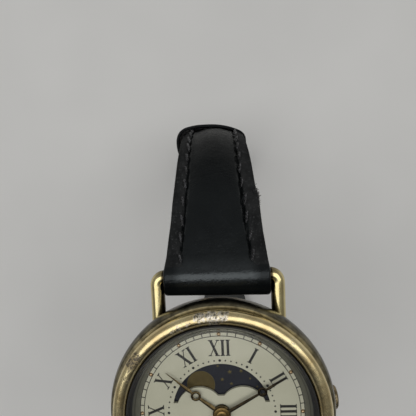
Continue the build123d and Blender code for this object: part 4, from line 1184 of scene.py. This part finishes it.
FREE_MID = [(-6.30, 25.4), (-6.34, 26.9), (-5.95, 27.95), (-5.35, 28.50), (-4.50, 28.83), (-2.75, 29.08), (-0.3, 29.06), (1.5, 28.80), (2.95, 28.36), (4.2, 27.78), (4.74, 27.1), (4.86, 26.3),
            (4.86, 25.3), (4.7, 24.6), (4.3, 24.42), (0.0, 24.42), (-5.1, 24.42), (-6.0, 24.6)]
FIX_MID = [(-5.48, 10.0), (-5.45, 11.0), (-5.1, 11.5), (-3.4, 11.78), (0.0, 11.85), (3.4, 11.78), (5.1, 11.5), (5.45, 11.0), (5.48, 10.0), (5.3, 8.75), (4.6, 8.58), (0.0, 8.58), (-4.6, 8.58), (-5.3, 8.75)]
loop_band("free_keeper_leather", FREE_MID, C1, -3.5, 10.0, 0.5, "leather_edge", "free_keeper", "free_keeper")
loop_band("fixed_keeper_leather", FIX_MID, C2, -52.0, -27.0, 0.5, "leather_edge", "strap_12", "fixed_keeper")

# ------------------------------------------------------------------ the crystal lets light in once, without counting it again through the glass
NODES["crystal"].visible_shadow = False
NODES["crystal"].visible_diffuse = False
NODES["crystal"].visible_glossy = False

# ------------------------------------------------------------------ floor, lights, camera
fl = bpy.data.meshes.new("floor")
S = 1.5
fl.from_pydata([(-S, -S, FLOOR_Z * MM - 0.00012), (S, -S, FLOOR_Z * MM - 0.00012), (S, S, FLOOR_Z * MM - 0.00012), (-S, S, FLOOR_Z * MM - 0.00012)], [], [[0, 1, 2, 3]])
fl.materials.append(M["pale_floor"].m)
floor = bpy.data.objects.new("floor", fl)
bpy.context.scene.collection.objects.link(floor)


def area(name, loc, target, size, power, colour=(1, 1, 1), turn=0.0):
    ld = bpy.data.lights.new(name, "AREA")
    ld.shape = "RECTANGLE"
    ld.size, ld.size_y = size
    ld.energy = power
    ld.color = colour
    o = bpy.data.objects.new(name, ld)
    o.location = loc
    d = Vector(target) - Vector(loc)
    o.rotation_euler = (Matrix.Rotation(math.radians(turn), 3, "Z") @ d.to_track_quat("-Z", "Y").to_matrix()).to_euler()
    bpy.context.scene.collection.objects.link(o)
    return o


area("light_box", (0.02, 0.07, 0.38), (0.02, 0.07, 0), (0.88, 0.35), 1.24, (1.0, 0.99, 0.97), 10.0)

world = bpy.data.worlds.new("studio")
bpy.context.scene.world = world
world.use_nodes = True
wn = world.node_tree
bg = wn.nodes["Background"]
tc = wn.nodes.new("ShaderNodeTexCoord")
side = wn.nodes.new("ShaderNodeVectorMath")
side.operation = "DOT_PRODUCT"
wn.links.new(tc.outputs["Generated"], side.inputs[0])
side.inputs[1].default_value = (0.0, 0.98, 0.20)
mr = wn.nodes.new("ShaderNodeMapRange")
mr.inputs["From Min"].default_value = -1.0
mr.inputs["From Max"].default_value = 1.0
wn.links.new(side.outputs["Value"], mr.inputs["Value"])
rp = wn.nodes.new("ShaderNodeValToRGB")
rp.color_ramp.elements[0].position = 0.22
rp.color_ramp.elements[0].color = (0.008, 0.008, 0.008, 1)
rp.color_ramp.elements[1].position = 0.52
rp.color_ramp.elements[1].color = (0.26, 0.26, 0.257, 1)
wn.links.new(mr.outputs["Result"], rp.inputs["Fac"])
sep = wn.nodes.new("ShaderNodeSeparateXYZ")                  # pale room all round, low down
wn.links.new(tc.outputs["Generated"], sep.inputs[0])
hz = wn.nodes.new("ShaderNodeMapRange")
hz.inputs["From Min"].default_value = 0.16
hz.inputs["From Max"].default_value = 0.42
hz.inputs["To Min"].default_value = 0.24
hz.inputs["To Max"].default_value = 0.0
wn.links.new(sep.outputs[2], hz.inputs["Value"])
mx = wn.nodes.new("ShaderNodeVectorMath")
mx.operation = "MAXIMUM"
wn.links.new(rp.outputs["Color"], mx.inputs[0])
wn.links.new(hz.outputs["Result"], mx.inputs[1])
wn.links.new(mx.outputs[0], bg.inputs["Color"])
bg.inputs["Strength"].default_value = 1.0

cam_d = bpy.data.cameras.new("camera")
cam = bpy.data.objects.new("camera", cam_d)
bpy.context.scene.collection.objects.link(cam)
R = [[0.9979, -0.0439, -0.0482], [-0.0403, -0.9966, 0.0718], [-0.0512, -0.0697, -0.9963]]
right = Vector(R[0]).normalized()
back = -Vector(R[2]).normalized()
up = back.cross(right).normalized()
right = up.cross(back).normalized()
loc = Vector((1.55, 25.894, 46.112)) * MM
cam.matrix_world = Matrix(((right.x, up.x, back.x, loc.x), (right.y, up.y, back.y, loc.y), (right.z, up.z, back.z, loc.z), (0, 0, 0, 1)))
cam_d.sensor_width = 36.0
cam_d.lens = 380.0 / 416.0 * 36.0
cam_d.clip_start = 0.002
cam_d.clip_end = 10.0
bpy.context.scene.camera = cam
bpy.context.scene.view_settings.view_transform = "Standard"
bpy.context.scene.view_settings.exposure = 0.0
